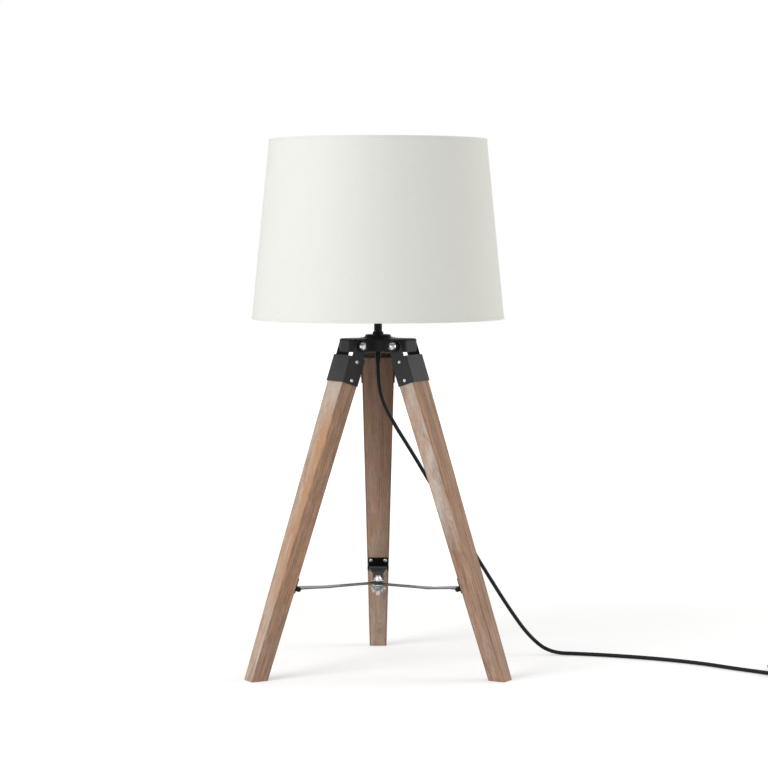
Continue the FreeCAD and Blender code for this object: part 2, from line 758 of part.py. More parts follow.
def hinge_plate(side, frame):
    """A plate screwed to the leg's inner face, with two lugs that hold the strip's pin."""
    back = -of("Dims.leg_deep / 2")
    face = back - of("Dims.plate_thick")
    pin_x, _, pin_z = PIN_AT
    half = of("Dims.plate_half")
    lug = of("Dims.lug_radius")
    thick = of("Dims.plate_thick")
    sheet = solid(
        "Box",
        f"plate_{side}_sheet",
        (face, -half, pin_z - of("Dims.plate_below")),
        Length="Dims.plate_thick",
        Width="2 * Dims.plate_half",
        Height="Dims.plate_above + Dims.plate_below",
    )
    parts = [sheet]
    for way in (-1, 1):
        start = half - thick if way > 0 else -half
        web = solid("Box", f"plate_{side}_web_{way}", (pin_x, start, pin_z - lug))
        web.setExpression("Length", "Dims.pin_out + Dims.plate_thick / 2")
        web.setExpression("Width", "Dims.plate_thick")
        web.setExpression("Height", "2 * Dims.lug_radius")
        nose = solid("Cylinder", f"plate_{side}_nose_{way}", Radius="Dims.lug_radius")
        nose.setExpression("Height", "Dims.plate_thick")
        nose.Placement = place((pin_x, start + thick, pin_z), (1, 0, 0), 90)
        parts += [web, nose]
    bore = solid("Cylinder", f"plate_{side}_bore", Radius="Dims.pin_radius", Height="4 * Dims.plate_half")
    bore.Placement = place((pin_x, 2 * half, pin_z), (1, 0, 0), 90)
    tools = [bore]
    for number, seat in enumerate(plate_seats()):
        tools.append(drill(f"plate_{side}_hole_{number}", *seat, 4))
    node(f"hinge_plate_{side}", cut(f"plate_{side}_cut", fused(f"plate_{side}_whole", *parts), *tools), frame)

    # a headed pin through both lugs
    cap = of("Dims.pin_head")
    shank = solid("Cylinder", f"pin_{side}_shank", (0, 0, -half - cap / 2), Radius="Dims.pin_radius")
    shank.Height = 2 * half + cap
    heads = []
    for start in (-half - cap, half):
        head = solid("Cylinder", f"pin_{side}_head_{round(start)}", (0, 0, start))
        head.setExpression("Radius", "Dims.pin_radius + Dims.pin_head")
        head.setExpression("Height", "Dims.pin_head")
        heads.append(head)
    pin = fused(f"pin_{side}_whole", shank, *heads)
    node(f"hinge_pin_{side}", pin, frame.multiply(place(PIN_AT, (1, 0, 0), -90)))


def leg_screws(side, frame):
    bracket_set = [screw(f"screw_{side}_{n}", *seat) for n, seat in enumerate(screw_seats())]
    plate_set = [screw(f"plate_screw_{side}_{n}", *seat) for n, seat in enumerate(plate_seats())]
    node(f"bracket_screws_{side}", group(f"bracket_screw_set_{side}", *bracket_set), frame)
    node(f"plate_screws_{side}", group(f"plate_screw_set_{side}", *plate_set), frame)


# ---------------------------------------------------------------- spreader
# layers below the pins' level; the spindle's own origin is in the middle one
LAYERS = {"rear": 0, "left": -1, "right": -2}
REACH = PIN.x
PIN_INWARD = PIN.x - of("Dims.pivot_radius")
PIN_BELOW = of("Dims.pivot_level") - PIN.z
OPEN_ANGLE = math.atan2(PIN_INWARD, PIN_BELOW)
SHUT_ANGLE = OPEN_ANGLE - math.radians(of("Dims.close_angle"))
TRAVEL = math.hypot(PIN_INWARD, PIN_BELOW) * (math.sin(OPEN_ANGLE) - math.sin(SHUT_ANGLE))
TALLER = 6


def strip(side):
    """A flat strip from its hinge pin to the spindle, cranked to its own layer and slotted."""
    layer = LAYERS[side] * of("Dims.strip_layer")
    half = "Dims.strip_thick / 2"
    tip = f"{REACH} + Dims.strip_half_hub + 1"
    edge = padded(
        f"strip_{side}_edge",
        "XZ_Plane",
        [
            ("0", half),
            ("Dims.crank_start", half),
            ("Dims.crank_end", f"{layer} + {half}"),
            (tip, f"{layer} + {half}"),
            (tip, f"{layer} - {half}"),
            ("Dims.crank_end", f"{layer} - {half}"),
            ("Dims.crank_start", f"-{half}"),
            ("0", f"-{half}"),
        ],
        "3 * Dims.strip_half_leg",
        symmetric=True,
    )
    plan = padded(
        f"strip_{side}_plan",
        "XY_Plane",
        [
            ("0", "-Dims.strip_half_leg"),
            ("Dims.strip_square_to", "-Dims.strip_half_leg"),
            ("Dims.strip_narrow_from", "-Dims.strip_half_hub"),
            (str(REACH), "-Dims.strip_half_hub"),
            (str(REACH), "Dims.strip_half_hub"),
            ("Dims.strip_narrow_from", "Dims.strip_half_hub"),
            ("Dims.strip_square_to", "Dims.strip_half_leg"),
            ("0", "Dims.strip_half_leg"),
        ],
        str(2 * TALLER),
        symmetric=True,
    )
    nose = solid("Cylinder", f"strip_{side}_nose", (REACH, 0, -TALLER), Radius="Dims.strip_half_hub")
    nose.Height = 2 * TALLER
    blade = doc.addObject("Part::Common", f"strip_{side}_blade")
    blade.Base = edge
    blade.Tool = fused(f"strip_{side}_shape", plan, nose)
    eye = solid("Cylinder", f"strip_{side}_eye", Radius="Dims.eye_radius", Height="2 * Dims.strip_half_leg")
    eye.Placement = place((0, of("Dims.strip_half_leg"), 0), (1, 0, 0), 90)
    bore = solid("Cylinder", f"strip_{side}_bore", Radius="Dims.pin_radius + Dims.running", Height="60")
    bore.Placement = place((0, 30, 0), (1, 0, 0), 90)
    far = REACH - TRAVEL
    middle = solid("Box", f"strip_{side}_slot", (far, -of("Dims.slot_half"), -TALLER))
    middle.setExpression("Width", "2 * Dims.slot_half")
    middle.Length = TRAVEL
    middle.Height = 2 * TALLER
    slot = [middle]
    for end in (far, REACH):
        round_end = solid("Cylinder", f"strip_{side}_slot_{round(end)}", (end, 0, -TALLER))
        round_end.setExpression("Radius", "Dims.slot_half")
        round_end.Height = 2 * TALLER
        slot.append(round_end)
    whole = cut(f"strip_{side}_cut", fused(f"strip_{side}_whole", blade, eye), bore, *slot)
    node(f"spreader_strip_{side}", whole, strip_frame(AZIMUTHS[side]))


def spindle():
    """The bolt at the middle of the spreader, its washers and its wing nut."""
    stack = of("Dims.strip_layer + Dims.strip_thick / 2 + Dims.gap")
    washer = of("Dims.washer_tall")
    tail = of("Dims.spindle_tail")
    seat = stack + washer
    shank = solid("Cylinder", "spindle_shank", (0, 0, -tail), Radius="Dims.spindle_radius")
    shank.Height = tail + seat + 1
    head = solid("Prism", "spindle_hex", (0, 0, seat), Circumradius="Dims.spindle_head")
    head.setExpression("Height", "Dims.spindle_head_tall")
    crown = seat + of("Dims.spindle_head_tall - 1")
    dome = solid("Sphere", "spindle_crown", (0, 0, crown), Radius="Dims.spindle_dome")
    dome.Angle1 = 0
    node("centre_bolt", fused("spindle_whole", shank, head, dome), SPINDLE)

    rings = []
    for name, low in (("upper", stack), ("lower", -seat)):
        disc = solid("Cylinder", f"washer_{name}_disc", (0, 0, low), Radius="Dims.washer_radius")
        disc.setExpression("Height", "Dims.washer_tall")
        bore = solid("Cylinder", f"washer_{name}_bore", (0, 0, low - 1), Radius="Dims.spindle_radius")
        bore.setExpression("Height", "Dims.washer_tall + 2")
        rings.append(cut(f"washer_{name}", disc, bore))
    node("centre_washers", group("washer_pair", *rings), SPINDLE)

    top = -seat - of("Dims.gap")
    collar = solid("Cone", "wing_collar", (0, 0, top - of("Dims.wing_collar_tall")))
    collar.setExpression("Radius1", "Dims.wing_collar_low")
    collar.setExpression("Radius2", "Dims.wing_collar_top")
    collar.setExpression("Height", "Dims.wing_collar_tall")
    parts = [collar]
    for way in (-1, 1):
        blade = solid("Cylinder", f"wing_blade_{way}", Radius="Dims.wing_radius", Height="Dims.wing_thick")
        at = (way * of("Dims.wing_out"), of("Dims.wing_thick / 2"), top - of("Dims.wing_down"))
        blade.Placement = place(at, (1, 0, 0), 90)
        parts.append(blade)
    bore = solid("Cylinder", "wing_bore", (0, 0, -tail), Radius="Dims.spindle_radius + Dims.running")
    bore.Height = tail
    node("wing_nut", cut("wing_cut", fused("wing_whole", *parts), bore), SPINDLE)


# ---------------------------------------------------------------- cord
# The lead hangs from the head between the rear and right legs, runs along the floor to the right, and
# its spare length lies in a coil. Points are in millimetres from the stem's axis and the floor.
CORD = of("Dims.cord_radius")
LYING = CORD + 0.05
LEAD = [
    (0, 0, 384),
    (0, 0, 362),
    (5, 3, 336),
    (20, 16, 306),
    (43, 40, 268),
    (71, 64, 219),
    (104, 82, 166),
    (137, 92, 112),
    (168, 96, 62),
    (195, 96, 24),
    (222, 93, LYING),
    (262, 85, LYING),
    (309, 70, LYING),
    (360, 47, LYING),
    (409, 15, LYING),
    (446, -22, LYING),
]
COIL_START = 225
COIL_CENTRE = (520, -41)
PLUG_AT = (592, -24, of("Dims.plug_half_tall"))
PLUG_HEADING = 90
TAIL = [
    (540, -100, 5),
    (570, -90, LYING),
    (588, -66, 3.5),
    (592, -40, PLUG_AT[2]),
    PLUG_AT,
]


def arc(start, corner, end):
    """The arc from start to end whose end tangents meet at corner."""
    middle = (start + end) / 2
    half_chord = (end - start).Length / 2
    rise = (corner - middle).Length
    quarter_turn = math.atan2(rise, half_chord) / 2
    bulge = middle + (corner - middle).normalize() * half_chord * math.tan(quarter_turn)
    return Part.Arc(start, bulge, end).toShape()


def tube(edges):
    """A round tube of the cord's radius along joined edges."""
    path = Part.Wire(edges)
    first = edges[0]
    ahead = first.tangentAt(first.FirstParameter)
    ring = Part.Wire(Part.makeCircle(CORD, first.valueAt(first.FirstParameter), ahead))
    pipe = path.makePipeShell([ring], True, False)
    fullness = pipe.Volume / (math.pi * CORD**2 * path.Length)
    print(f"  length {path.Length:.1f}, volume over section times length {fullness:.5f}")
    return pipe


def routed(points):
    """Straight runs joined by tangent arcs, each as large as its two runs allow."""
    points = [vec(*p) for p in points]
    edges, at, radii = [], points[0], []
    for before, corner, after in zip(points, points[1:], points[2:]):
        back, ahead = before - corner, after - corner
        turn = math.pi - back.getAngle(ahead)
        inset = 0.45 * min(back.Length, ahead.Length)
        radii.append(inset / math.tan(turn / 2))
        start = corner + back.normalize() * inset
        end = corner + ahead.normalize() * inset
        edges.append(Part.LineSegment(at, start).toShape())
        edges.append(arc(start, corner, end))
        at = end
    edges.append(Part.LineSegment(at, points[-1]).toShape())
    print("  radii", [round(r) for r in radii])
    return edges


def coil_point(turns):
    """Place and heading on the coil after a number of turns: in, up a layer in half a turn, and out."""
    inward = of("Dims.coil_turns")
    pitch, inner = of("Dims.coil_pitch"), of("Dims.coil_inner")
    over = min(max(turns - inward, 0), 0.5)
    drawn_in = min(turns, inward) - max(turns - inward - 0.5, 0)
    radius = inner + pitch * (inward - drawn_in)
    growth = 0 if 0 < over < 0.5 else (-pitch if turns <= inward else pitch) / (2 * math.pi)
    ease = (1 - math.cos(2 * math.pi * over)) / 2
    angle = math.radians(COIL_START) + 2 * math.pi * turns
    out = vec(math.cos(angle), math.sin(angle), 0)
    along = vec(-math.sin(angle), math.cos(angle), 0)
    climb = of("Dims.coil_layer") * math.sin(2 * math.pi * over) / 2
    at = vec(*COIL_CENTRE, LYING + of("Dims.coil_layer") * ease) + out * radius
    return at, (along * radius + out * growth + vec(0, 0, climb)).normalize()


def biarc(start, heading, end, last):
    """Two arcs that leave start along heading and reach end along last."""
    across, both = end - start, heading + last
    a = 4 - both.dot(both)
    b = across.dot(both)
    reach = (-b + math.sqrt(b * b + a * across.dot(across))) / a
    first, second = start + heading * reach, end - last * reach
    joint = (first + second) / 2
    return [arc(start, first, joint), arc(joint, second, end)]


def coil():
    """The spare cord, and the places and headings of its two ends."""
    turns = 2 * of("Dims.coil_turns") + 0.5
    steps = [coil_point(turns * n / (4 * turns)) for n in range(round(4 * turns) + 1)]
    (start, heading), (end, last) = steps[0], steps[-1]
    stub = 2 * CORD
    entry, leave = start - heading * stub, end + last * stub
    edges = [Part.LineSegment(entry, start).toShape()]
    for (a, b), (c, d) in zip(steps, steps[1:]):
        edges += biarc(a, b, c, d)
    edges.append(Part.LineSegment(end, leave).toShape())
    return edges, (entry, heading), (leave, last)


def least_gap(edges):
    """The smallest gap between the tube and itself, from evenly spaced points along its path."""
    path = Part.Wire(edges)
    step = CORD / 3
    points = path.discretize(Number=round(path.Length / step))
    apart = round(8 * CORD / step)
    return min((p - q).Length for i, p in enumerate(points) for q in points[i + apart :]) - 2 * CORD


def cord():
    edges, (entry, heading), (leave, last) = coil()
    print("coil")
    wound = doc.addObject("Part::Feature", "cord_coil_tube")
    wound.Shape = tube(edges)
    print(f"  least gap to itself {least_gap(edges):.2f}")
    node("cord_coil", wound, STEM)

    print("lead")
    lead = doc.addObject("Part::Feature", "cord_lead_tube")
    lead.Shape = tube(routed(LEAD + [tuple(entry - heading * 24), tuple(entry)]))
    node("cord_lead", lead, STEM)

    # the tail bends round the coil to the plug
    print("tail")
    piece = doc.addObject("Part::Feature", "cord_tail_tube")
    piece.Shape = tube(routed([tuple(leave), tuple(leave + last * 16)] + TAIL))
    node("cord_tail", piece, STEM)


def plug():
    """A plain two-pin plug lying on the floor, its cord entering a tapered boot."""
    tall, long, boot = (of("Dims." + name) for name in ("plug_half_tall", "plug_long", "plug_boot"))
    grip = padded(
        "plug_block",
        "XY_Plane",
        [
            ("Dims.plug_boot", "-Dims.plug_half_width * 0.55"),
            ("Dims.plug_boot + Dims.plug_long", "-Dims.plug_half_width"),
            ("Dims.plug_boot + Dims.plug_long", "Dims.plug_half_width"),
            ("Dims.plug_boot", "Dims.plug_half_width * 0.55"),
        ],
        "2 * Dims.plug_half_tall",
        symmetric=True,
    )
    eased(grip, "plug_corners", "Dims.plug_corner", lambda edge: runs_along(edge, (0, 0, 1)))
    eased(grip, "plug_rims", "Dims.plug_rim", lambda edge: abs(edge.CenterOfMass.z) > tall - 0.01)
    cone = solid("Cone", "plug_cone", Radius1="Dims.cord_radius + 0.8", Radius2="Dims.plug_boot_radius")
    cone.setExpression("Height", "Dims.plug_boot + 2")
    cone.Placement = place(axis=(0, 1, 0), angle=90)
    body = fused("plug_whole", grip, cone)
    frame = STEM.multiply(place(PLUG_AT, angle=PLUG_HEADING))
    node("plug_body", body, frame)
    pins = []
    for way in (-1, 1):
        shank = solid("Cylinder", f"plug_pin_{way}", Radius="Dims.plug_pin_radius")
        shank.setExpression("Height", "Dims.plug_pin_long - 1")
        tip = solid("Cone", f"plug_tip_{way}", (0, 0, of("Dims.plug_pin_long - 1")), Height="1")
        tip.setExpression("Radius1", "Dims.plug_pin_radius")
        tip.setExpression("Radius2", "Dims.plug_pin_radius / 2")
        pin = fused(f"plug_prong_{way}", shank, tip)
        pin.Placement = place((boot + long, way * of("Dims.plug_pin_apart / 2"), 0), (0, 1, 0), 90)
        pins.append(pin)
    node("plug_pins", group("plug_pin_pair", *pins), frame)


shade()
hub()
head_fittings()
lampholder()
bulb()
pivot_bolts()
for side, azimuth in AZIMUTHS.items():
    frame = leg_frame(azimuth)
    wooden_leg(side, frame)
    bracket(side, frame)
    hinge_plate(side, frame)
    leg_screws(side, frame)
    strip(side)
spindle()
cord()
plug()

doc.recompute()
for item in doc.Objects:
    if "Invalid" in item.State or "Error" in item.State:
        raise RuntimeError(f"{item.Name} is {item.State}")
for name, piece in nodes.items():
    if piece.Shape.isNull() or not piece.Shape.isValid() or piece.Shape.Volume <= 0:
        raise RuntimeError(f"{name} has no valid solid")

os.makedirs("parts", exist_ok=True)
for name, piece in nodes.items():
    piece.Shape.exportStep(f"parts/{name}.step")

box = FreeCAD.BoundBox()
for name, piece in nodes.items():
    if not name.startswith(("cord_", "plug_")):
        box.add(piece.Shape.optimalBoundingBox())
print(f"{len(nodes)} sub-parts; lamp {box}")
print(f"stem at y {STEM_Y:.3f}; pin {PIN}; strip travel {TRAVEL:.3f}")
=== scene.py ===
import json
import math
from contextlib import contextmanager

import bmesh
import bpy
from bpy.props import FloatProperty, FloatVectorProperty, IntProperty, PointerProperty
from mathutils import Euler, Matrix, Vector


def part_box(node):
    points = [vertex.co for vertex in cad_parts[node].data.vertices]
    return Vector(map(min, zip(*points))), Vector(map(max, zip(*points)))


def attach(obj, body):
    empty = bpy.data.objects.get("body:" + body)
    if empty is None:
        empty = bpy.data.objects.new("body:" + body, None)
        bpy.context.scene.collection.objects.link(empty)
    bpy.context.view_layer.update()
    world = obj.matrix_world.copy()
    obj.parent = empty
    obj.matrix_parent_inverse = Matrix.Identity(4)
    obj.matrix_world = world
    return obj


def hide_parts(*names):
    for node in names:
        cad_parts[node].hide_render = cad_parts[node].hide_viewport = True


bl_info = {
    "name": "Tripod Table Lamp",
    "version": (1, 0, 0),
    "blender": (4, 5, 0),
    "location": "View3D > Sidebar > Lamp",
    "description": "Dresses a tripod table lamp: linen shade, whitewashed legs, black ironwork and cord",
    "category": "Object",
}

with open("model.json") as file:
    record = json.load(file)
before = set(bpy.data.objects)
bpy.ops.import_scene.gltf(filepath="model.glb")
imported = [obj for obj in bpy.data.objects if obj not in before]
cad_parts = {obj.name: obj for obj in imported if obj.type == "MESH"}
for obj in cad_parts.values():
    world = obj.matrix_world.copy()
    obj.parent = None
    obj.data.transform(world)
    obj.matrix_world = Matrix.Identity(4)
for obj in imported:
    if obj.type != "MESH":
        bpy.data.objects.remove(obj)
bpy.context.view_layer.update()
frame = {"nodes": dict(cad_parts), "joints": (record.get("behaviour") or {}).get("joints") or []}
JOINTS = {joint["name"]: joint for joint in frame["joints"]}
NODES = frame["nodes"]

# ---------------------------------------------------------------- places, in metres
SIDES = ("left", "right", "rear")
LEAN = math.radians(18.6)
LEG_HALF_DEEP = 0.0105
LEG_TAPER_FROM = 0.050
LEG_HALF_TOP = 0.020
LEG_HALF_FOOT = 0.011
LEG_LONG = 0.4284
CHEEK = 0.0212
BOLT_SEAT = 0.0223
SCREWS_DOWN = (0.0205, 0.0443)
PLATE_FACE = -0.0115
PLATE_SCREW_ACROSS = 0.0091
PLATE_SCREW_DOWN = 0.2986
STEM = Vector(JOINTS["wing_turn"]["pos_m"])
STEM.z = 0
SHADE_LOW, SHADE_HIGH = (corner.copy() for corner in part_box("shade"))
SHADE_TOP_RADIUS = 0.135
WEAVE_RADIUS = 0.147

# fasteners
SCREW_RADIUS = 0.0023
HEX_RADIUS = 0.0062
HEAD_HEX_TALL = 0.0030
NUT_HEX_TALL = 0.0045
PIVOT_SHANK_RADIUS = 0.003
SPINDLE_HEX_RADIUS = 0.0051
SPINDLE_HEX_TALL = 0.0028
SPINDLE_SHANK_RADIUS = 0.0025
WING_BORE = 0.00265
WING_RADIUS = 0.0036
WING_THICK = 0.0018
WING_OUT = 0.0055
WING_DOWN = 0.0052

# the cord's route, from the stem's axis and the floor; LYING is the height of its line where it lies flat
CORD_RADIUS = 0.0025
LYING = 0.00255
LEAD = [
    (0, 0, 0.384),
    (0, 0, 0.362),
    (0.005, 0.003, 0.336),
    (0.020, 0.016, 0.306),
    (0.043, 0.040, 0.268),
    (0.071, 0.064, 0.219),
    (0.104, 0.082, 0.166),
    (0.137, 0.092, 0.112),
    (0.168, 0.096, 0.062),
    (0.195, 0.096, 0.024),
    (0.222, 0.093, LYING),
    (0.262, 0.085, LYING),
    (0.309, 0.070, LYING),
    (0.360, 0.047, LYING),
    (0.409, 0.015, LYING),
    (0.446, -0.022, LYING),
]
COIL_CENTRE = Vector((0.520, -0.041, 0))
COIL_START = math.radians(225)
COIL_INNER = 0.021
COIL_PITCH = 0.0066
COIL_LAYER = 0.0056
COIL_TURNS = 2.25
COIL_STEPS = 20
COIL_RUN_IN = (0.029, 0.005)
COIL_RUN_OUT = (0.005, 0.021)
TIE_TURN = math.radians(110)
PLUG_AT = Vector((0.592, -0.024, 0.0075))
TAIL = [
    (0.540, -0.100, 0.005),
    (0.570, -0.090, LYING),
    (0.588, -0.066, 0.0035),
    (0.592, -0.040, PLUG_AT.z),
    tuple(PLUG_AT),
]

# the photograph's camera
VIEW_FROM = Vector((0.0006, -3.0392, 0.5478))
VIEW_YAW = math.radians(0.129)
VIEW_PITCH = math.radians(3.608)
VIEW_LENS = 113.96


def leg_matrix(side):
    """From a leg's own frame, +Z up the leg and +X out of its outer face, to the lamp's."""
    hinge = JOINTS[f"leg_hinge_{side}"]
    azimuth = math.atan2(-hinge["axis"][0], hinge["axis"][1])
    return (
        Matrix.Translation(hinge["pos_m"])
        @ Matrix.Rotation(azimuth, 4, "Z")
        @ Matrix.Rotation(-LEAN, 4, "Y")
    )


# ---------------------------------------------------------------- modelling by hand
def deselect():
    if bpy.context.object and bpy.context.object.mode != "OBJECT":
        bpy.ops.object.mode_set(mode="OBJECT")
    bpy.ops.object.select_all(action="DESELECT")


@contextmanager
def editing(piece):
    """Edit mode on one piece, with nothing selected at first."""
    deselect()
    # Shows the lamp's steps and their settings in the sidebar
    piece.select_set(True)
    bpy.context.view_layer.objects.active = piece
    bpy.ops.object.mode_set(mode="EDIT")
    bpy.ops.mesh.select_all(action="DESELECT")
    yield piece
    bpy.ops.object.mode_set(mode="OBJECT")


def pick(piece, kind, wanted):
    """Selects the vertices, edges or faces of the piece being edited that wanted(item) picks."""
    mesh = bmesh.from_edit_mesh(piece.data)
    for item in getattr(mesh, kind):
        item.select_set(bool(wanted(item)))
    mesh.select_flush_mode()
    bmesh.update_edit_mesh(piece.data)


def primitive(kind, name, **settings):
    """Adds one of Blender's mesh primitives and names it."""
    deselect()
    getattr(bpy.ops.mesh, f"primitive_{kind}_add")(**settings)
    piece = bpy.context.object
    piece.name = name
    piece.data.name = name
    return piece


def modified(piece, kind, **settings):
    """Adds a modifier and applies it."""
    deselect()
    piece.select_set(True)
    bpy.context.view_layer.objects.active = piece
    modifier = piece.modifiers.new(kind.title(), kind)
    for name, value in settings.items():
        setattr(modifier, name, value)
    bpy.ops.object.modifier_apply(modifier=modifier.name)
    return piece


def eased(piece, width, segments, degrees=50):
    """Rounds the edges that turn by more than an angle."""
    limit = math.radians(degrees)
    return modified(piece, "BEVEL", width=width, segments=segments, limit_method="ANGLE", angle_limit=limit)


def settled(piece, matrix=None):
    """Moves the piece's place into its mesh, turned by a matrix where one is given."""
    deselect()
    piece.select_set(True)
    bpy.context.view_layer.objects.active = piece
    if matrix is not None:
        piece.matrix_world = matrix @ piece.matrix_world
        bpy.context.view_layer.update()
    bpy.ops.object.transform_apply(location=True, rotation=True, scale=True)
    return piece


def smoothed(piece, degrees=35):
    deselect()
    piece.select_set(True)
    bpy.context.view_layer.objects.active = piece
    bpy.ops.object.shade_smooth_by_angle(angle=math.radians(degrees))
    return piece


def copied(piece, name, matrix):
    """A copy with a mesh of its own, moved by a matrix."""
    twin = bpy.data.objects.new(name, piece.data.copy())
    twin.data.name = name
    bpy.context.scene.collection.objects.link(twin)
    return settled(twin, matrix)


def joined(name, pieces):
    deselect()
    for piece in pieces:
        piece.select_set(True)
    bpy.context.view_layer.objects.active = pieces[0]
    bpy.ops.object.join()
    pieces[0].name = name
    pieces[0].data.name = name
    return pieces[0]


def dressed(piece, material):
    piece.data.materials.clear()
    piece.data.materials.append(material)
    return piece


def fitted(piece, body, slot, material, *nodes):
    """Gives a finished piece its material and its body, and hides the nodes that it stands for; its slot is
    not used.
    """
    dressed(piece, material)
    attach(piece, body)
    if nodes:
        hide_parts(*nodes)
    return piece


def turned(name, profile, steps=64):
    """A piece turned about +Z from (radius, height) points, closed where the profile is."""
    piece = primitive("plane", name, size=1)
    with editing(piece):
        bpy.ops.mesh.select_all(action="SELECT")
        bpy.ops.mesh.delete(type="VERT")
        mesh = bmesh.from_edit_mesh(piece.data)
        points = [mesh.verts.new((radius, 0, height)) for radius, height in profile]
        for start, end in zip(points, points[1:]):
            mesh.edges.new((start, end))
        bmesh.update_edit_mesh(piece.data)
        bpy.ops.mesh.select_all(action="SELECT")
        bpy.ops.mesh.spin(steps=steps, angle=2 * math.pi, center=(0, 0, 0), axis=(0, 0, 1))
        bpy.ops.mesh.select_all(action="SELECT")
        bpy.ops.mesh.remove_doubles(threshold=1e-6)
        bpy.ops.mesh.normals_make_consistent(inside=False)
    return piece


# ---------------------------------------------------------------- shader maths
class Value:
    """A shader socket that Python's operators work on."""

    def __init__(self, finish, socket):
        self.finish = finish
        self.socket = socket

    def maths(self, operation, *others):
        return self.finish.node("ShaderNodeMath", {"operation": operation}, self, *others)

    def __add__(self, other):
        return self.maths("ADD", other)

    def __sub__(self, other):
        return self.maths("SUBTRACT", other)

    def __mul__(self, other):
        return self.maths("MULTIPLY", other)

    def __pow__(self, other):
        return self.maths("POWER", other)

    def __abs__(self):
        return self.maths("ABSOLUTE")

    def __rsub__(self, other):
        return self.finish.node("ShaderNodeMath", {"operation": "SUBTRACT"}, other, self)

    __radd__ = __add__
    __rmul__ = __mul__

    def between(self, low, high):
        """0 below low, 1 above high, and smooth between."""
        settings = {"interpolation_type": "SMOOTHSTEP"}
        return self.finish.node("ShaderNodeMapRange", settings, self, low, high)


class Finish:
    """A material that is being made: its nodes and its one shader."""

    def __init__(self, name, color, roughness, metallic=0.0):
        self.material = bpy.data.materials.new(name)
        self.material.use_nodes = True
        self.tree = self.material.node_tree
        self.shader = self.tree.nodes["Principled BSDF"]
        self.set("Base Color", color)
        self.set("Roughness", roughness)
        self.set("Metallic", metallic)

    def feed(self, socket, value):
        if isinstance(value, Value):
            self.tree.links.new(value.socket, socket)
        elif hasattr(value, "__len__") and hasattr(socket.default_value, "__len__"):
            count = len(socket.default_value)
            socket.default_value = (tuple(value) + (1.0,))[:count]
        else:
            socket.default_value = value

    def set(self, name, value):
        self.feed(self.shader.inputs[name], value)

    def node(self, kind, settings, *values, output=0, **named):
        """Adds a node: its settings first, then its sockets in order or by name."""
        node = self.tree.nodes.new(kind)
        for name, value in settings.items():
            setattr(node, name, value)
        for socket, value in zip(node.inputs, values):
            self.feed(socket, value)
        for name, value in named.items():
            self.feed(node.inputs[name.replace("_", " ")], value)
        return Value(self, node.outputs[output])

    def place(self):
        return self.node("ShaderNodeTexCoord", {}, output=3)

    def local(self, matrix):
        """The place in another frame, given by the matrix from it to the lamp's."""
        turn = matrix.to_euler("XYZ")
        return self.node(
            "ShaderNodeMapping", {"vector_type": "TEXTURE"}, self.place(), matrix.translation, tuple(turn)
        )

    def stretched(self, place, scale, shift=(0, 0, 0)):
        return self.node("ShaderNodeMapping", {}, place, shift, (0, 0, 0), scale)

    def parts(self, place):
        """The x, y and z of a place."""
        node = self.tree.nodes.new("ShaderNodeSeparateXYZ")
        self.feed(node.inputs[0], place)
        return [Value(self, socket) for socket in node.outputs]

    def noise(self, place, scale, detail=2.0, roughness=0.5, distortion=0.0):
        return self.node(
            "ShaderNodeTexNoise",
            {},
            Vector=place,
            Scale=scale,
            Detail=detail,
            Roughness=roughness,
            Distortion=distortion,
        )

    def mix(self, factor, first, second):
        """From one colour to another by a factor."""
        node = self.tree.nodes.new("ShaderNodeMix")
        node.data_type = "RGBA"
        self.feed(node.inputs[0], factor)
        self.feed(node.inputs[6], first)
        self.feed(node.inputs[7], second)
        return Value(self, node.outputs[2])

    def bump(self, height, distance, strength=1.0):
        node = self.node("ShaderNodeBump", {}, Strength=strength, Distance=distance, Height=height)
        self.set("Normal", node)


# ---------------------------------------------------------------- finishes
EDGE_STAIN = {"left": 0.55, "right": 0.16, "rear": 0.40}


def linen(settings):
    """Off-white plain-woven linen: warp and weft threads, and slubs along both."""
    finish = Finish("linen", settings.linen, 0.88)
    x, y, z = finish.parts(finish.place())
    turn = finish.node("ShaderNodeMath", {"operation": "ARCTAN2"}, y - STEM.y, x - STEM.x)
    around = turn * WEAVE_RADIUS
    cloth = finish.node("ShaderNodeCombineXYZ", {}, around, z, 0.0)
    warp = (around * (2 * math.pi / settings.thread)).maths("SINE")
    weft = (z * (2 * math.pi / settings.thread)).maths("SINE")
    across = finish.noise(finish.stretched(cloth, (60, 2600, 1)), 1.0, 2)
    down = finish.noise(finish.stretched(cloth, (2600, 60, 1)), 1.0, 2)
    slub = across.between(0.42, 0.72) + down.between(0.42, 0.72)
    cloud = finish.noise(finish.place(), 14.0, 2)
    shade = finish.mix(slub * 0.30, settings.linen, [c * 0.93 for c in settings.linen[:3]])
    shade = finish.mix(cloud.between(0.35, 0.75) * 0.25, shade, [c * 0.965 for c in settings.linen[:3]])
    finish.set("Base Color", shade)
    finish.set("Roughness", 0.84 + slub * 0.05)
    finish.set("Sheen Weight", 0.15)
    finish.set("Sheen Roughness", 0.6)
    finish.bump(warp * weft * 0.5 + slub * 0.6, 0.00012)
    return finish.material


def lining(settings):
    """The stiff white lining inside the shade."""
    finish = Finish("shade_lining", settings.lining, 0.55)
    cloud = finish.noise(finish.place(), 30.0, 3)
    finish.set("Base Color", finish.mix(cloud.between(0.3, 0.8) * 0.4, settings.lining, (0.80, 0.80, 0.77)))
    finish.bump(finish.noise(finish.place(), 900.0, 2), 0.00004)
    return finish.material


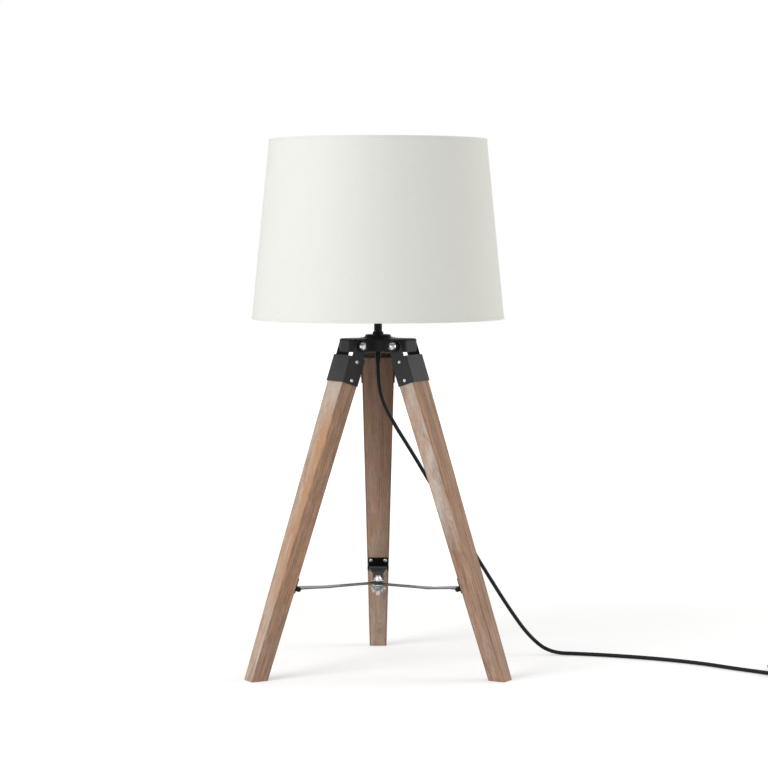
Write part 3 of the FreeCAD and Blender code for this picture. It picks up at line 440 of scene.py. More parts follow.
def whitewashed_wood(side, settings):
    """Brown wood with its grain up the leg, brushed with a thin white wash that has worn unevenly; on the
    rear leg, painted shade darkens the top and one side.
    """
    finish = Finish(f"whitewashed_wood_{side}", settings.brown, 0.72)
    place = finish.local(leg_matrix(side))
    x, y, z = finish.parts(place)
    down = 0 - z
    shift = 7.3 * SIDES.index(side)
    # a stretch is about how often its pattern repeats in a metre: through the leg, across it and along it
    fibre = finish.noise(finish.stretched(place, (900, 900, 26), (shift, 0, shift)), 1.0, 4, 0.6, 0.15)
    streak = finish.noise(finish.stretched(place, (210, 210, 7), (0, shift, 2 + shift)), 1.0, 3, 0.55, 0.4)
    band = finish.noise(finish.stretched(place, (75, 75, 6), (shift, 3, shift)), 1.0, 2, 0.5, 0.6)
    blotch = finish.noise(finish.stretched(place, (75, 75, 24), (3, shift, 5 + shift)), 1.0, 4, 0.62, 0.5)
    speck = finish.noise(finish.stretched(place, (900, 900, 420), (shift, 1, 1)), 1.0, 3, 0.6)
    pore = finish.noise(finish.stretched(place, (1600, 1600, 55), (1, 1, shift)), 1.0, 1)

    timber = finish.mix(streak.between(0.40, 0.60), settings.brown, settings.tan)
    timber = finish.mix(band.between(0.50, 0.64) * 0.60, timber, settings.amber)
    timber = finish.mix(fibre.between(0.44, 0.60) * 0.34, timber, settings.dark)

    outer = x.between(0.0082, 0.0100)
    wash_amount_with_painted_shade = wash_and_painted_shade_share(side, outer, y, down)
    if side == "left":
        edge = (y + (band - 0.5) * 0.030 + (streak - 0.5) * 0.012).between(-0.006, 0.004) * outer
        warm = edge * down.between(0.06, 0.12) * (1 - down.between(0.26, 0.40))
        timber = finish.mix(warm * 0.75, timber, settings.amber)
        wash_amount_with_painted_shade = wash_amount_with_painted_shade * (1 - warm * 0.85)

    # the wash is thin on the arrises, patchy, and caught in the grain
    taper = (LEG_HALF_TOP - LEG_HALF_FOOT) / (LEG_LONG - LEG_TAPER_FROM)
    half = LEG_HALF_TOP - (down - LEG_TAPER_FROM) * taper
    beside = (abs(y) - half).between(-0.0026, -0.0008)
    rim = beside * abs(x).between(LEG_HALF_DEEP - 0.0026, LEG_HALF_DEEP - 0.0006)
    patch = 0.45 + blotch.between(0.38, 0.58) * 0.80
    grain = 0.76 + fibre.between(0.35, 0.60) * 0.34
    wash_cover_with_painted_shade = wash_amount_with_painted_shade * patch * grain * (1 - rim * 0.75) * settings.wash
    coats = [settings.wash_grey, settings.wash_cool, settings.wash_warm]
    thick, thin = coats[:2] if side == "right" else coats[1:]
    coat = finish.mix(streak.between(0.42, 0.58), thick, thin)
    coloured = finish.mix(wash_cover_with_painted_shade, timber, coat)
    coloured = finish.mix(speck.between(0.52, 0.66) * (wash_amount_with_painted_shade * 0.60 + 0.08), coloured, settings.wash_grey)
    coloured = finish.mix(pore.between(0.60, 0.68) * 0.34, coloured, settings.dark)
    stain_and_painted_shade = rim * blotch.between(0.36, 0.60) * EDGE_STAIN[side]
    # the rear leg is darkened a little all over, and painted shade darkens it much more towards the top,
    # under the hub and lampshade, and on its -y side
    if side == "rear":
        upper = 1 - down.between(0.04, 0.30)
        stain_and_painted_shade = stain_and_painted_shade + 0.10 + upper * 0.42 + (1 - y.between(-0.016, 0.010)) * 0.16
    coloured = finish.mix(stain_and_painted_shade, coloured, settings.dark)
    finish.set("Base Color", coloured)
    finish.set("Roughness", 0.62 + fibre.between(0.3, 0.7) * 0.22)
    finish.bump(fibre * 0.7 + streak * 0.4 - pore.between(0.60, 0.70) * 0.6, 0.00030)
    return finish.material


def wash_and_painted_shade_share(side, outer, y, down):
    """How much of a leg's face the wash covers, with painted shade on the rear leg, by how far down the leg
    and across it a point lies.
    """
    if side == "left":
        return 0.08 + outer * 0.68 + down.between(0.30, 0.40) * 0.06
    if side == "right":
        front = y.between(-0.002, -0.010) * (1 - outer)
        upper = 1 - down.between(0.20, 0.27)
        return 0.06 + front * upper * 0.72 + down.between(0.33, 0.40) * 0.12
    # on the rear leg the whitewash thins towards the top and towards its -y side: painted shadow under the
    # hub and lampshade, and painted shade on that side
    across = y.between(-0.014, 0.014) * 0.26
    middle = down.between(0.08, 0.30) * 0.28
    lower = down.between(0.30, 0.40) * 0.26
    return 0.04 + across + middle + lower


def black_coat(name, settings, depth=1.0, sheen=0.0, gloss=0.28):
    """Baked black paint on steel: a fine orange peel, faint scuffs and a slightly uneven sheen."""
    black = [c * depth for c in settings.black[:3]]
    finish = Finish(name, black, 0.45)
    place = finish.place()
    cloud = finish.noise(place, 55.0, 3)
    scuff = finish.noise(finish.stretched(place, (700, 700, 90)), 1.0, 3)
    finish.set("Base Color", finish.mix(scuff.between(0.60, 0.78) * 0.5, black, [c * 2.6 for c in black]))
    finish.set("Roughness", 0.42 - sheen + cloud * 0.12 + scuff.between(0.6, 0.8) * 0.12)
    finish.set("Specular IOR Level", gloss)
    finish.bump(finish.noise(place, 1900.0, 2) * 0.8 + cloud * 0.4, 0.00004)
    return finish.material


def bright(name, color, roughness, tarnish_and_dark_reflection=0.18):
    """Plated metal with fine handling marks and cloudy darker patches: lightly tarnished metal, and where
    strong, painted dark reflections.
    """
    finish = Finish(name, color, roughness, 1.0)
    mark = finish.noise(finish.place(), 900.0, 4, 0.6)
    cloud = finish.noise(finish.place(), 260.0, 2)
    dull = [c * (1 - tarnish_and_dark_reflection) for c in color[:3]]
    finish.set("Base Color", finish.mix(cloud.between(0.40, 0.62), color, dull))
    finish.set("Roughness", roughness + mark.between(0.45, 0.8) * 0.14)
    finish.bump(mark, 0.00002)
    return finish.material


def moulded(name, color, roughness):
    """Moulded plastic or rubber with a fine spark-eroded grain."""
    finish = Finish(name, color, roughness)
    grain = finish.noise(finish.place(), 1500.0, 2)
    cloud = finish.noise(finish.place(), 70.0, 2)
    finish.set("Base Color", finish.mix(cloud.between(0.4, 0.8) * 0.5, color, [c * 1.6 for c in color[:3]]))
    finish.set("Roughness", roughness + grain * 0.12)
    finish.set("Specular IOR Level", 0.20)
    finish.bump(grain, 0.00003)
    return finish.material


def enamel():
    """White enamel on the shade's wires."""
    finish = Finish("white_enamel", (0.82, 0.82, 0.80), 0.35)
    speck = finish.noise(finish.place(), 400.0, 3)
    finish.set("Base Color", finish.mix(speck.between(0.55, 0.8), (0.82, 0.82, 0.80), (0.74, 0.74, 0.71)))
    finish.set("Roughness", 0.32 + speck * 0.1)
    finish.bump(speck, 0.00003)
    return finish.material


def opal():
    """The bulb's opal glass: milk white, with a glassy skin."""
    finish = Finish("opal_glass", (0.90, 0.90, 0.88), 0.30)
    depth = finish.noise(finish.place(), 40.0, 2)
    finish.set("Base Color", finish.mix(depth.between(0.3, 0.8), (0.91, 0.91, 0.89), (0.86, 0.86, 0.84)))
    finish.set("Roughness", 0.26 + depth * 0.08)
    finish.set("Coat Weight", 1.0)
    finish.set("Coat Roughness", 0.06)
    return finish.material


# ---------------------------------------------------------------- settings
def colour(name, description, default):
    return FloatVectorProperty(
        name=name, description=description, default=default, subtype="COLOR", min=0.0, max=1.0, size=3
    )


def length(name, description, default):
    return FloatProperty(name=name, description=description, default=default, unit="LENGTH", min=0.0)


class ShadeSettings(bpy.types.PropertyGroup):
    linen: colour("Linen", "Colour of the shade's cloth", (0.805, 0.812, 0.765))
    lining: colour("Lining", "Colour of the shade's inside", (0.84, 0.84, 0.80))
    thread: length("Thread", "Distance between two threads of the weave", 0.0009)
    hem: length("Hem", "Height of the rolled hem at each rim", 0.0032)
    hem_proud: length("Hem proud", "How far the hem stands out of the cloth", 0.0004)
    wall: length("Wall", "Thickness of cloth and lining together", 0.0011)


class WoodSettings(bpy.types.PropertyGroup):
    brown: colour("Brown", "Colour of the bare wood", (0.305, 0.168, 0.104))
    tan: colour("Tan", "Colour of the lighter streaks", (0.430, 0.250, 0.155))
    amber: colour("Amber", "Colour of the warm bands", (0.490, 0.250, 0.118))
    dark: colour("Dark", "Colour of pores, arrises and stains", (0.072, 0.036, 0.025))
    wash_grey: colour("Grey wash", "Colour of the wash where it lies thickest", (0.500, 0.462, 0.430))
    wash_cool: colour("Cool wash", "Colour of the thick white wash", (0.550, 0.450, 0.370))
    wash_warm: colour("Warm wash", "Colour of the thin white wash", (0.500, 0.352, 0.245))
    wash: FloatProperty(name="Wash", description="How much of the wash is left", default=1.0, min=0, max=1)


class IronSettings(bpy.types.PropertyGroup):
    black: colour("Black", "Colour of the painted steel", (0.013, 0.013, 0.014))
    chrome: colour("Chrome", "Colour of the bolts, nuts and screws", (0.60, 0.60, 0.61))
    brass: colour("Brass", "Colour of the contacts", (0.74, 0.55, 0.26))


class CordSettings(bpy.types.PropertyGroup):
    rubber: colour("Rubber", "Colour of the cord and its plug", (0.005, 0.005, 0.005))
    long: length("Length", "Length of the cord from the hub to the plug", 1.8)
    sides: IntProperty(name="Sides", description="Smoothness of the cord's round section", default=6, min=2)


class StageSettings(bpy.types.PropertyGroup):
    floor: colour("Floor", "Colour of the floor", (0.90, 0.90, 0.90))
    lift: FloatProperty(
        name="Lift", description="How far the floor near the lamp is lifted to white", default=0.30
    )
    key: FloatProperty(name="Key", description="Power of the front left light, in watts", default=41.0)
    fill: FloatProperty(name="Fill", description="Power of the right light, in watts", default=19.0)
    world: FloatProperty(name="World", description="Strength of the light from all round", default=0.52)


# ---------------------------------------------------------------- camera and cord
class LAMP_OT_camera(bpy.types.Operator):
    """Adds the camera where the photograph was taken from"""

    bl_idname = "lamp.camera"
    bl_label = "Camera"

    def execute(self, context):
        deselect()
        turn = Euler((math.pi / 2 - VIEW_PITCH, 0, -VIEW_YAW))
        bpy.ops.object.camera_add(location=VIEW_FROM, rotation=turn)
        context.scene.camera = context.object
        context.object.name = "photo_camera"
        context.object.data.lens = VIEW_LENS
        return {"FINISHED"}


def coil_points():
    """The coil's control points: in, up a layer in half a turn, and out again."""
    points = []
    for step in range(round((2 * COIL_TURNS + 0.5) * COIL_STEPS) + 1):
        turns = step / COIL_STEPS
        over = min(max(turns - COIL_TURNS, 0), 0.5)
        drawn_in = min(turns, COIL_TURNS) - max(turns - COIL_TURNS - 0.5, 0)
        radius = COIL_INNER + COIL_PITCH * (COIL_TURNS - drawn_in)
        rise = COIL_LAYER * (1 - math.cos(2 * math.pi * over)) / 2
        angle = COIL_START + 2 * math.pi * turns
        out = Vector((math.cos(angle), math.sin(angle), 0))
        points.append(COIL_CENTRE + out * radius + Vector((0, 0, LYING + rise)))
    return points


def cord_points():
    """Control points of the whole cord, from the hub to the plug."""
    coil = coil_points()
    heading = Vector((-math.sin(COIL_START), math.cos(COIL_START), 0))
    approach = [coil[0] - heading * back for back in COIL_RUN_IN]
    leave = [coil[-1] + heading * on for on in COIL_RUN_OUT]
    route = [Vector(point) for point in LEAD] + approach + coil + leave + [Vector(point) for point in TAIL]
    return [point + STEM for point in route]


class LAMP_OT_cord(bpy.types.Operator):
    """Lays the cord from the hub to the plug"""

    bl_idname = "lamp.cord"
    bl_label = "Cord"

    def execute(self, context):
        settings = context.scene.lamp_cord
        deselect()
        bpy.ops.curve.primitive_nurbs_path_add()
        cord = context.object
        cord.name = "cord"
        cord.data.name = "cord"
        cord.matrix_world = Matrix.Identity(4)
        cord.data.splines.clear()
        points = cord_points()
        spline = cord.data.splines.new("NURBS")
        spline.points.add(len(points) - 1)
        for control, point in zip(spline.points, points):
            control.co = (*point, 1)
        spline.order_u = 3
        spline.use_endpoint_u = True
        spline.resolution_u = 8
        cord.data.bevel_depth = CORD_RADIUS
        cord.data.bevel_resolution = settings.sides
        cord.data.use_fill_caps = True
        fitted(
            cord,
            "lamp_head",
            "cord_black",
            moulded("cord_rubber", settings.rubber, 0.42),
            "cord_lead",
            "cord_coil",
            "cord_tail",
        )
        plug = make_plug(settings)
        tie = make_tie(settings)
        return {"FINISHED"}


def make_plug(settings):
    """A moulded two-pin plug: a flat grip with finger ribs and a ribbed tapered boot."""
    boot, long, wide, tall = 0.012, 0.030, 0.025, 0.015
    thick = tall - 0.0006
    middle = (boot + long / 2, 0, 0)
    grip = settled(primitive("cube", "plug_grip", size=1, location=middle, scale=(long, wide, thick)))
    with editing(grip):
        pick(grip, "verts", lambda v: v.co.x < boot + 0.001)
        bpy.ops.transform.resize(value=(1, 0.52, 0.84), center_override=(boot, 0, 0))
        pick(grip, "edges", lambda e: abs(e.verts[0].co.z - e.verts[1].co.z) > 0.01)
        bpy.ops.mesh.bevel(offset=0.0042, segments=6)
    eased(grip, 0.0018, 4, 40)
    ribs = []
    for step in range(4):
        at = boot + 0.012 + step * 0.0035
        for way in (-1, 1):
            rib = primitive("uv_sphere", f"plug_rib_{step}_{way}", segments=24, ring_count=12, radius=1)
            rib.scale = (0.0010, 0.0070, 0.0007)
            rib.location = (at, 0, way * (tall / 2 - 0.0007))
            ribs.append(settled(rib))
    profile = [(0.0, -0.0005), (CORD_RADIUS + 0.0004, -0.0005)]
    for step in range(6):
        start = step * 0.0021
        size = CORD_RADIUS + 0.0008 + step * 0.00045
        profile += [(size, start), (size + 0.0004, start + 0.0004), (size + 0.0004, start + 0.0013)]
        profile += [(size, start + 0.0016)]
    profile += [(0.0052, boot + 0.002), (0.0, boot + 0.002)]
    sleeve = settled(turned("plug_boot_turned", profile, 40), Matrix.Rotation(math.pi / 2, 4, "Y"))
    plug = joined("plug", [grip, sleeve] + ribs)
    settled(plug, Matrix.Translation(PLUG_AT + STEM) @ Matrix.Rotation(math.pi / 2, 4, "Z"))
    smoothed(plug)
    fitted(plug, "lamp_head", "cord_black", moulded("plug_rubber", settings.rubber, 0.5), "plug_body")
    return plug


def make_tie(settings):
    """A hook-and-loop strap round the coil's turns, its end lapped over on top."""
    wide = COIL_PITCH * COIL_TURNS + 2 * CORD_RADIUS + 0.0016
    tall = COIL_LAYER + 2 * CORD_RADIUS + 0.0014
    breadth = 0.006
    strap = settled(primitive("cube", "cord_tie", size=1, scale=(wide, breadth, tall)))
    with editing(strap):
        pick(strap, "edges", lambda e: abs(e.verts[0].co.y - e.verts[1].co.y) > breadth / 2)
        bpy.ops.mesh.bevel(offset=0.0028, segments=6)
        pick(strap, "faces", lambda f: abs(f.normal.y) > 0.9)
        bpy.ops.mesh.delete(type="FACE")
    modified(strap, "SOLIDIFY", thickness=0.0007, offset=-1)
    on_top = (0.001, 0, tall / 2 + 0.0003)
    lap = settled(primitive("cube", "tie_lap", size=1, location=on_top, scale=(0.011, breadth, 0.0007)))
    modified(lap, "BEVEL", width=0.0002, segments=2)
    tie = smoothed(joined("cord_tie", [strap, lap]))
    out = Vector((math.cos(TIE_TURN), math.sin(TIE_TURN), 0)) * (COIL_INNER + COIL_PITCH * COIL_TURNS / 2)
    middle = COIL_CENTRE + STEM + out + Vector((0, 0, tall / 2 + 0.0001))
    settled(tie, Matrix.Translation(middle) @ Matrix.Rotation(TIE_TURN, 4, "Z"))
    nylon = moulded("strap_nylon", [c * 2 for c in settings.rubber], 0.8)
    return fitted(tie, "lamp_head", "cord_black", nylon)


# ---------------------------------------------------------------- shade
class LAMP_OT_shade(bpy.types.Operator):
    """Makes the linen shade with its lining, hems and back seam"""

    bl_idname = "lamp.shade"
    bl_label = "Shade"

    def execute(self, context):
        settings = context.scene.lamp_shade
        low, high = SHADE_LOW.z, SHADE_HIGH.z
        wide = (SHADE_HIGH.x - SHADE_LOW.x) / 2
        slope = (wide - SHADE_TOP_RADIUS) / (high - low)

        def radius_at(height):
            return wide - slope * (height - low)

        def band(name, bottom, top, proud, steps=160):
            piece = primitive(
                "cone",
                name,
                vertices=steps,
                radius1=radius_at(bottom) + proud,
                radius2=radius_at(top) + proud,
                depth=top - bottom,
                end_fill_type="NOTHING",
                location=(STEM.x, STEM.y, (bottom + top) / 2),
            )
            return settled(piece)

        cover = band("shade_cloth", low + 0.0006, high - 0.0006, -0.0001)
        modified(cover, "SOLIDIFY", thickness=settings.wall * 0.5, offset=-1)
        smoothed(cover)
        fitted(cover, "lamp_head", "shade_linen", linen(settings), "shade")

        inside = band("shade_lining", low + 0.0008, high - 0.0008, -settings.wall * 0.5 - 0.00012)
        modified(inside, "SOLIDIFY", thickness=settings.wall * 0.45, offset=-1)
        smoothed(inside)
        fitted(inside, "lamp_head", "shade_linen", lining(settings))

        for name, bottom, top in (("low", low, low + settings.hem), ("high", high - settings.hem, high)):
            hem = band(f"shade_hem_{name}", bottom, top, settings.hem_proud)
            with editing(hem):
                bpy.ops.mesh.select_all(action="SELECT")
                bpy.ops.mesh.subdivide(number_cuts=1)
            modified(hem, "SOLIDIFY", thickness=settings.wall + 2 * settings.hem_proud, offset=-1)
            eased(hem, 0.0005, 3)
            smoothed(hem, 60)
            fitted(hem, "lamp_head", "shade_linen", linen(settings))

        # the cloth laps over itself in a glued seam at the back
        seam = band("shade_seam", low + settings.hem, high - settings.hem, 0.0001, 480)
        with editing(seam):
            pick(seam, "faces", lambda f: abs(f.calc_center_median().x - STEM.x) > 0.006
                 or f.calc_center_median().y < STEM.y)
            bpy.ops.mesh.delete(type="FACE")
        modified(seam, "SOLIDIFY", thickness=0.0006, offset=1)
        eased(seam, 0.0002, 2)
        fitted(seam, "lamp_head", "shade_linen", linen(settings))

        white = enamel()
        for node in ("shade_wire_low", "shade_wire_top", "shade_fitter"):
            dressed(NODES[node], white)
        return {"FINISHED"}


# ---------------------------------------------------------------- wood and iron
class LAMP_OT_legs(bpy.types.Operator):
    """Finishes the three wooden legs"""

    bl_idname = "lamp.legs"
    bl_label = "Legs"

    def execute(self, context):
        for side in SIDES:
            dressed(NODES[f"leg_{side}"], whitewashed_wood(side, context.scene.lamp_wood))
        return {"FINISHED"}


class LAMP_OT_ironwork(bpy.types.Operator):
    """Finishes the hub, brackets, hinge plates and spreader strips"""

    bl_idname = "lamp.ironwork"
    bl_label = "Ironwork"

    def execute(self, context):
        settings = context.scene.lamp_iron
        coat = black_coat("black_coat", settings)
        # a darker copy of the black paint: painted shade, made for the hub in the lampshade's shadow and
        # used too on the hub cap, stem, pivot washers, hinge plates and pins
        shaded_black_coat = black_coat("hub_coat", settings, 0.4, 0.06, 0.16)
        strip = black_coat("strip_coat", settings, 3.2, 0.16, 0.5)
        chrome = bright("chrome", settings.chrome, 0.18)
        for side in SIDES:
            dressed(NODES[f"bracket_{side}"], coat)
            dressed(NODES[f"hinge_plate_{side}"], shaded_black_coat)
            dressed(NODES[f"hinge_pin_{side}"], shaded_black_coat)
            dressed(NODES[f"spreader_strip_{side}"], strip)
        for node in ("hub", "hub_cap", "stem_tube", "stem_collar", "pivot_washers"):
            dressed(NODES[node], shaded_black_coat)
        for node in ("lock_nut", "centre_washers"):
            dressed(NODES[node], chrome)
        return {"FINISHED"}


def cross_screw(name, radius, material):
    """A pan head with a cross recess, standing on the plane z = 0 and pointing up +Z."""
    rise = radius * 0.52
    head = primitive("uv_sphere", name, segments=32, ring_count=16, radius=radius)
    with editing(head):
        pick(head, "verts", lambda v: v.co.z < -1e-6)
        bpy.ops.mesh.delete(type="VERT")
    head.scale = (1, 1, rise / radius)
    head.location = (0, 0, 0.0003)
    settled(head)
    with editing(head):
        pick(head, "edges", lambda e: e.is_boundary)
        bpy.ops.mesh.extrude_region_move(TRANSFORM_OT_translate={"value": (0, 0, -0.0003)})
        pick(head, "edges", lambda e: e.is_boundary)
        bpy.ops.mesh.edge_face_add()
    blades = []
    for turn in (0, math.pi / 2):
        blade = primitive(
            "cube",
            f"{name}_blade",
            size=1,
            scale=(radius * 1.15, radius * 0.26, rise),
            location=(0, 0, rise * 0.95 + 0.0003),
            rotation=(0, 0, turn),
        )
        blades.append(settled(blade))
    for blade in blades:
        modified(head, "BOOLEAN", object=blade, operation="DIFFERENCE", solver="EXACT")
        bpy.data.objects.remove(blade)
    smoothed(head, 30)
    return dressed(head, material)


class LAMP_OT_screws(bpy.types.Operator):
    """Puts a cross-head screw in every hole of the brackets and hinge plates"""

    bl_idname = "lamp.screws"
    bl_label = "Screws"

    def execute(self, context):
        settings = context.scene.lamp_iron
        zinc = bright("zinc", settings.chrome, 0.24)
        model = cross_screw("screw_model", SCREW_RADIUS, zinc)
        for side in SIDES:
            leg = leg_matrix(side)
            heads = []
            for down in SCREWS_DOWN:
                for way in (-1, 1):
                    at = Matrix.Translation((0, way * CHEEK, -down))
                    out = Matrix.Rotation(-way * math.pi / 2, 4, "X")
                    spin = Matrix.Rotation(0.9 * len(heads) + 0.4 * SIDES.index(side), 4, "Z")
                    heads.append(copied(model, f"bracket_screw_{side}_{len(heads)}", leg @ at @ out @ spin))
            screws = joined(f"bracket_screw_heads_{side}", heads)
            fitted(screws, f"leg_assembly_{side}", "bright_steel", zinc, f"bracket_screws_{side}")
            heads = []
            for way in (-1, 1):
                at = Matrix.Translation((PLATE_FACE, way * PLATE_SCREW_ACROSS, -PLATE_SCREW_DOWN))
                spin = Matrix.Rotation(0.7 * way, 4, "Z")
                matrix = leg @ at @ Matrix.Rotation(-math.pi / 2, 4, "Y") @ spin
                heads.append(copied(model, f"plate_screw_{side}_{way}", matrix))
            screws = joined(f"plate_screw_heads_{side}", heads)
            fitted(screws, f"leg_assembly_{side}", "bright_steel", zinc, f"plate_screws_{side}")
        bpy.data.objects.remove(model)
        return {"FINISHED"}


def hexagon(name, radius, tall):
    """A hexagon with eased corners on the plane z = 0."""
    base = primitive("cylinder", name, vertices=6, radius=radius, depth=tall, location=(0, 0, tall / 2))
    settled(base)
    modified(base, "BEVEL", width=radius * 0.09, segments=3)
    return smoothed(base, 30)


def dome(name, radius, foot, low, rise):
    """A polished dome on a short neck, from the level low up."""
    profile = [(foot, low - 0.0002), (radius, low + 0.0003)]
    for step in range(1, 13):
        angle = math.radians(step * 7.5)
        profile.append((radius * math.cos(angle), low + 0.0003 + rise * math.sin(angle)))
    profile[-1] = (0.0, profile[-1][1])
    return smoothed(turned(name, profile, 48), 40)


class LAMP_OT_pivots(bpy.types.Operator):
    """Makes the heads and nuts of the pivot bolts, and the bolt in the middle of the spreader"""

    bl_idname = "lamp.pivots"
    bl_label = "Pivot bolts"

    def execute(self, context):
        settings = context.scene.lamp_iron
        # the strong cloudy darkening of the polished chrome is painted dark reflection
        polished = bright("polished_chrome", settings.chrome, 0.10, 0.45)
        blackened = black_coat("blackened_steel", settings, 1.2, 0.1)
        models = {
            "head_hex": (1, blackened, hexagon("head_hex", HEX_RADIUS, HEAD_HEX_TALL)),
            "head_dome": (
                1, polished, dome("head_dome", radius=0.0047, foot=0.0050, low=HEAD_HEX_TALL, rise=0.0024)
            ),
            "nut_hex": (-1, blackened, hexagon("nut_hex", HEX_RADIUS, NUT_HEX_TALL)),
            "nut_dome": (
                -1, polished, dome("nut_dome", radius=0.0049, foot=0.0052, low=NUT_HEX_TALL, rise=0.0044)
            ),
        }
        made = {name: [] for name in models}
        for side in SIDES:
            for name, (way, _, model) in models.items():
                seat = Matrix.Translation((0, way * BOLT_SEAT, 0))
                out = Matrix.Rotation(-way * math.pi / 2, 4, "X")
                spin = Matrix.Rotation(0.3 + SIDES.index(side), 4, "Z")
                made[name].append(copied(model, f"{name}_{side}", leg_matrix(side) @ seat @ out @ spin))
        for side in SIDES:
            shank = primitive(
                "cylinder", f"shank_{side}", vertices=40, radius=PIVOT_SHANK_RADIUS, depth=2 * BOLT_SEAT
            )
            made["head_hex"].append(settled(shank, leg_matrix(side) @ Matrix.Rotation(math.pi / 2, 4, "X")))
        for name, (_, finish, model) in models.items():
            nodes = {"head_hex": ["pivot_bolts"], "nut_hex": ["acorn_nuts"]}.get(name, [])
            whole = smoothed(joined(f"pivot_{name}", made[name]), 30)
            slot = "black_metal" if finish is blackened else "bright_steel"
            fitted(whole, "lamp_head", slot, finish, *nodes)
            bpy.data.objects.remove(model)

        # the spindle: a hexagon and a crown over its washer, and the plain end of the bolt below
        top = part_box("centre_washers")[1].z - 0.0002
        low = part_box("centre_bolt")[0].z
        seat = Matrix.Translation((STEM.x, STEM.y, top))
        head = hexagon("spindle_hex", SPINDLE_HEX_RADIUS, SPINDLE_HEX_TALL)
        settled(head, seat @ Matrix.Rotation(0.2, 4, "Z"))
        crown = dome("spindle_crown", radius=0.0034, foot=0.0037, low=SPINDLE_HEX_TALL, rise=0.0030)
        settled(crown, seat)
        shank = primitive(
            "cylinder",
            "spindle_shank",
            vertices=40,
            radius=SPINDLE_SHANK_RADIUS,
            depth=top - low,
            location=(STEM.x, STEM.y, (top + low) / 2),
        )
        settled(shank)
        modified(shank, "BEVEL", width=0.0004, segments=2, limit_method="ANGLE")
        spindle = smoothed(joined("spindle_bolt", [head, crown, shank]), 30)
        fitted(spindle, "spindle", "bright_steel", polished, "centre_bolt")
        return {"FINISHED"}


class LAMP_OT_wing_nut(bpy.types.Operator):
    """Makes the wing nut under the spreader"""

    bl_idname = "lamp.wing_nut"
    bl_label = "Wing nut"

    def execute(self, context):
        collar_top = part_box("wing_nut")[1].z
        collar = turned(
            "wing_collar",
            [
                (WING_BORE, 0.0),
                (0.0047, 0.0),
                (0.0052, -0.0006),
                (0.0046, -0.0055),
                (0.0040, -0.0062),
                (WING_BORE, -0.0062),
                (WING_BORE, 0.0),
            ],
            48,
        )
        wings = []
        for way in (-1, 1):
            wing = primitive("cylinder", f"wing_{way}", vertices=40, radius=WING_RADIUS, depth=WING_THICK)
            settled(wing, Matrix.Rotation(math.pi / 2, 4, "X"))
            with editing(wing):
                bpy.ops.mesh.select_all(action="SELECT")
                bpy.ops.transform.resize(value=(1, 1, 1.05), center_override=(0, 0, 0))
                pick(wing, "verts", lambda v: v.co.x * way < -0.0012)
                bpy.ops.transform.resize(value=(1.1, 1.3, 0.70), center_override=(0, 0, 0.0010))
            eased(wing, 0.0006, 3)
            wings.append(settled(wing, Matrix.Translation((way * WING_OUT, 0, -WING_DOWN))))
        nut = joined("wing_nut_piece", [collar] + wings)
        settled(nut, Matrix.Translation((STEM.x, STEM.y, collar_top)))
        smoothed(nut, 35)
        # the wing nut's strong cloudy darkening is painted dark reflection
        chrome = bright("wing_zinc", [c * 0.72 for c in context.scene.lamp_iron.chrome], 0.24, 0.55)
        fitted(nut, "wing", "bright_steel", chrome, "wing_nut")
        return {"FINISHED"}


class LAMP_OT_holder(bpy.types.Operator):
    """Finishes the lampholder, the bulb and what carries the cord"""

    bl_idname = "lamp.holder"
    bl_label = "Lampholder and bulb"

    def execute(self, context):
        iron, cord = context.scene.lamp_iron, context.scene.lamp_cord
        plastic = moulded("holder_plastic", (0.022, 0.022, 0.022), 0.34)
        for node in ("holder_cup", "holder_shell", "shade_ring_nut", "switch_knob"):
            dressed(NODES[node], plastic)
        brass = bright("brass", iron.brass, 0.22)
        for node in ("screw_shell", "centre_contact", "plug_pins"):
            dressed(NODES[node], brass)
        dressed(NODES["bulb_cap"], bright("bulb_cap_metal", (0.70, 0.70, 0.69), 0.3))
        dressed(NODES["bulb_glass"], opal())
        rubber = moulded("sleeve_rubber", cord.rubber, 0.5)
        for node in ("cord_sleeve", "inner_cord"):
            dressed(NODES[node], rubber)
        return {"FINISHED"}


# ---------------------------------------------------------------- stage
FLOOR_RADIUS = 9
FLOOR_GAP = 0.0002


def seen_rays(tree):
    """1 for the rays by which the camera, a reflection or a glass sees a thing, and 0 for the rest."""
    path = tree.nodes.new("ShaderNodeLightPath")
    rays = path.outputs["Is Camera Ray"]
    for output in ("Is Glossy Ray", "Is Transmission Ray"):
        both = tree.nodes.new("ShaderNodeMath")
        both.operation = "MAXIMUM"
        tree.links.new(rays, both.inputs[0])
        tree.links.new(path.outputs[output], both.inputs[1])
        rays = both.outputs[0]
    return rays


def pale_floor(settings):
    """A matt floor that keeps its shadows and fades to plain white away from the lamp."""
    finish = Finish("pale_floor", settings.floor, 0.9)
    finish.set("Specular IOR Level", 0.1)
    x, y, _ = finish.parts(finish.place())
    away = (x * x + y * y) ** 0.5
    lift = Value(finish, seen_rays(finish.tree)) * (settings.lift + away.between(0.3, 2.2) * 0.42)
    finish.set("Emission Color", finish.node("ShaderNodeCombineXYZ", {}, lift, lift, lift))
    finish.set("Emission Strength", 1.0)
    return finish.material


def white_surroundings(strength):
    """White light from all round, and plain white where it is seen."""
    world = bpy.data.worlds.new("surroundings")
    world.use_nodes = True
    tree = world.node_tree
    sky = tree.nodes["Background"]
    sky.inputs["Color"].default_value = (1, 1, 1, 1)
    sky.inputs["Strength"].default_value = strength
    white = tree.nodes.new("ShaderNodeBackground")
    white.inputs["Color"].default_value = (1, 1, 1, 1)
    mix = tree.nodes.new("ShaderNodeMixShader")
    tree.links.new(seen_rays(tree), mix.inputs[0])
    tree.links.new(sky.outputs[0], mix.inputs[1])
    tree.links.new(white.outputs[0], mix.inputs[2])
    tree.links.new(mix.outputs[0], tree.nodes["World Output"].inputs["Surface"])
    return world


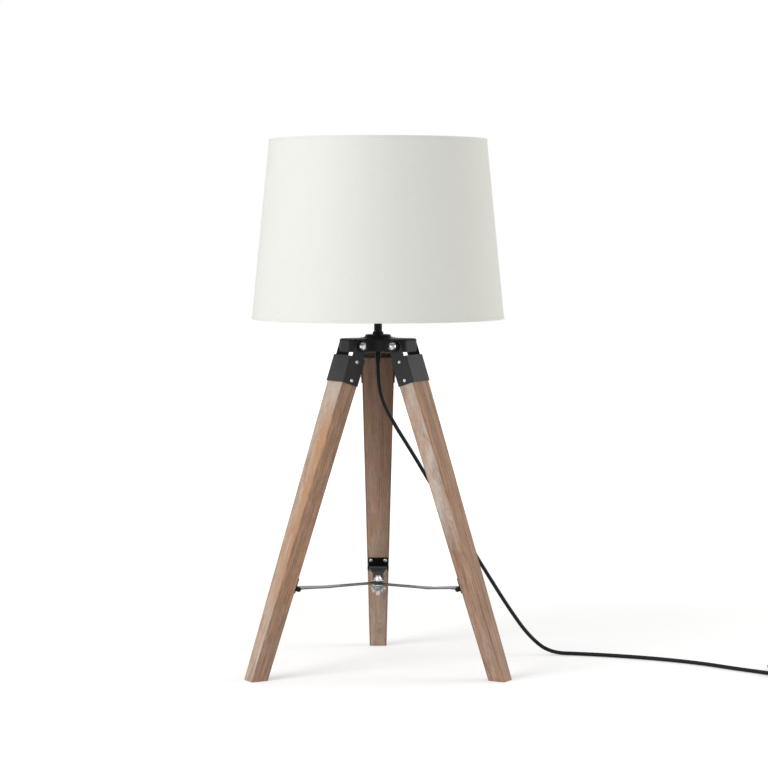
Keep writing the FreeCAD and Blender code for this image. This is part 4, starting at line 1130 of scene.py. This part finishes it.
class LAMP_OT_stage(bpy.types.Operator):
    """Adds the pale floor, the soft lights and the white surroundings"""

    bl_idname = "lamp.stage"
    bl_label = "Stage"

    def execute(self, context):
        settings = context.scene.lamp_stage
        under = (0, 0, -FLOOR_GAP)
        floor = primitive("circle", "floor", vertices=96, radius=FLOOR_RADIUS, fill_type="NGON",
                          location=under)
        dressed(settled(floor), pale_floor(settings))
        context.scene.world = white_surroundings(settings.world)
        aim = Vector((0, STEM.y, 0.36))
        for name, at, size, power, tint in (
            ("key_light", (-1.9, -1.7, 1.5), 1.5, settings.key, (1, 1, 1)),
            ("fill_light", (2.4, 0.2, 0.8), 1.2, settings.fill, (1, 0.97, 0.90)),
        ):
            deselect()
            bpy.ops.object.light_add(type="AREA", location=at)
            light = context.object
            light.name = name
            light.data.size = size
            light.data.energy = power
            light.data.color = tint
            light.rotation_euler = (aim - Vector(at)).to_track_quat("-Z", "Y").to_euler()
        context.scene.view_settings.view_transform = "Standard"
        return {"FINISHED"}


# ---------------------------------------------------------------- add-on
STEPS = (
    LAMP_OT_camera,
    LAMP_OT_cord,
    LAMP_OT_shade,
    LAMP_OT_legs,
    LAMP_OT_ironwork,
    LAMP_OT_screws,
    LAMP_OT_pivots,
    LAMP_OT_wing_nut,
    LAMP_OT_holder,
    LAMP_OT_stage,
)
GROUPS = {
    "lamp_shade": ShadeSettings,
    "lamp_wood": WoodSettings,
    "lamp_iron": IronSettings,
    "lamp_cord": CordSettings,
    "lamp_stage": StageSettings,
}


class LAMP_PT_panel(bpy.types.Panel):
    """Lists the lamp's pieces in the sidebar"""

    bl_idname = "LAMP_PT_panel"
    bl_label = "Tripod Table Lamp"
    bl_space_type = "VIEW_3D"
    bl_region_type = "UI"
    bl_category = "Lamp"

    def draw(self, context):
        for step in STEPS:
            self.layout.operator(step.bl_idname)
        for name, group in GROUPS.items():
            settings = getattr(context.scene, name)
            for field in group.__annotations__:
                self.layout.prop(settings, field)


CLASSES = (*GROUPS.values(), *STEPS, LAMP_PT_panel)


def register():
    for kind in CLASSES:
        bpy.utils.register_class(kind)
    for name, group in GROUPS.items():
        setattr(bpy.types.Scene, name, PointerProperty(type=group))


def unregister():
    for name in GROUPS:
        delattr(bpy.types.Scene, name)
    for kind in reversed(CLASSES):
        bpy.utils.unregister_class(kind)


def main():
    register()
    for step in STEPS:
        group, name = step.bl_idname.split(".")
        getattr(getattr(bpy.ops, group), name)()


if __name__ == "__main__":
    main()
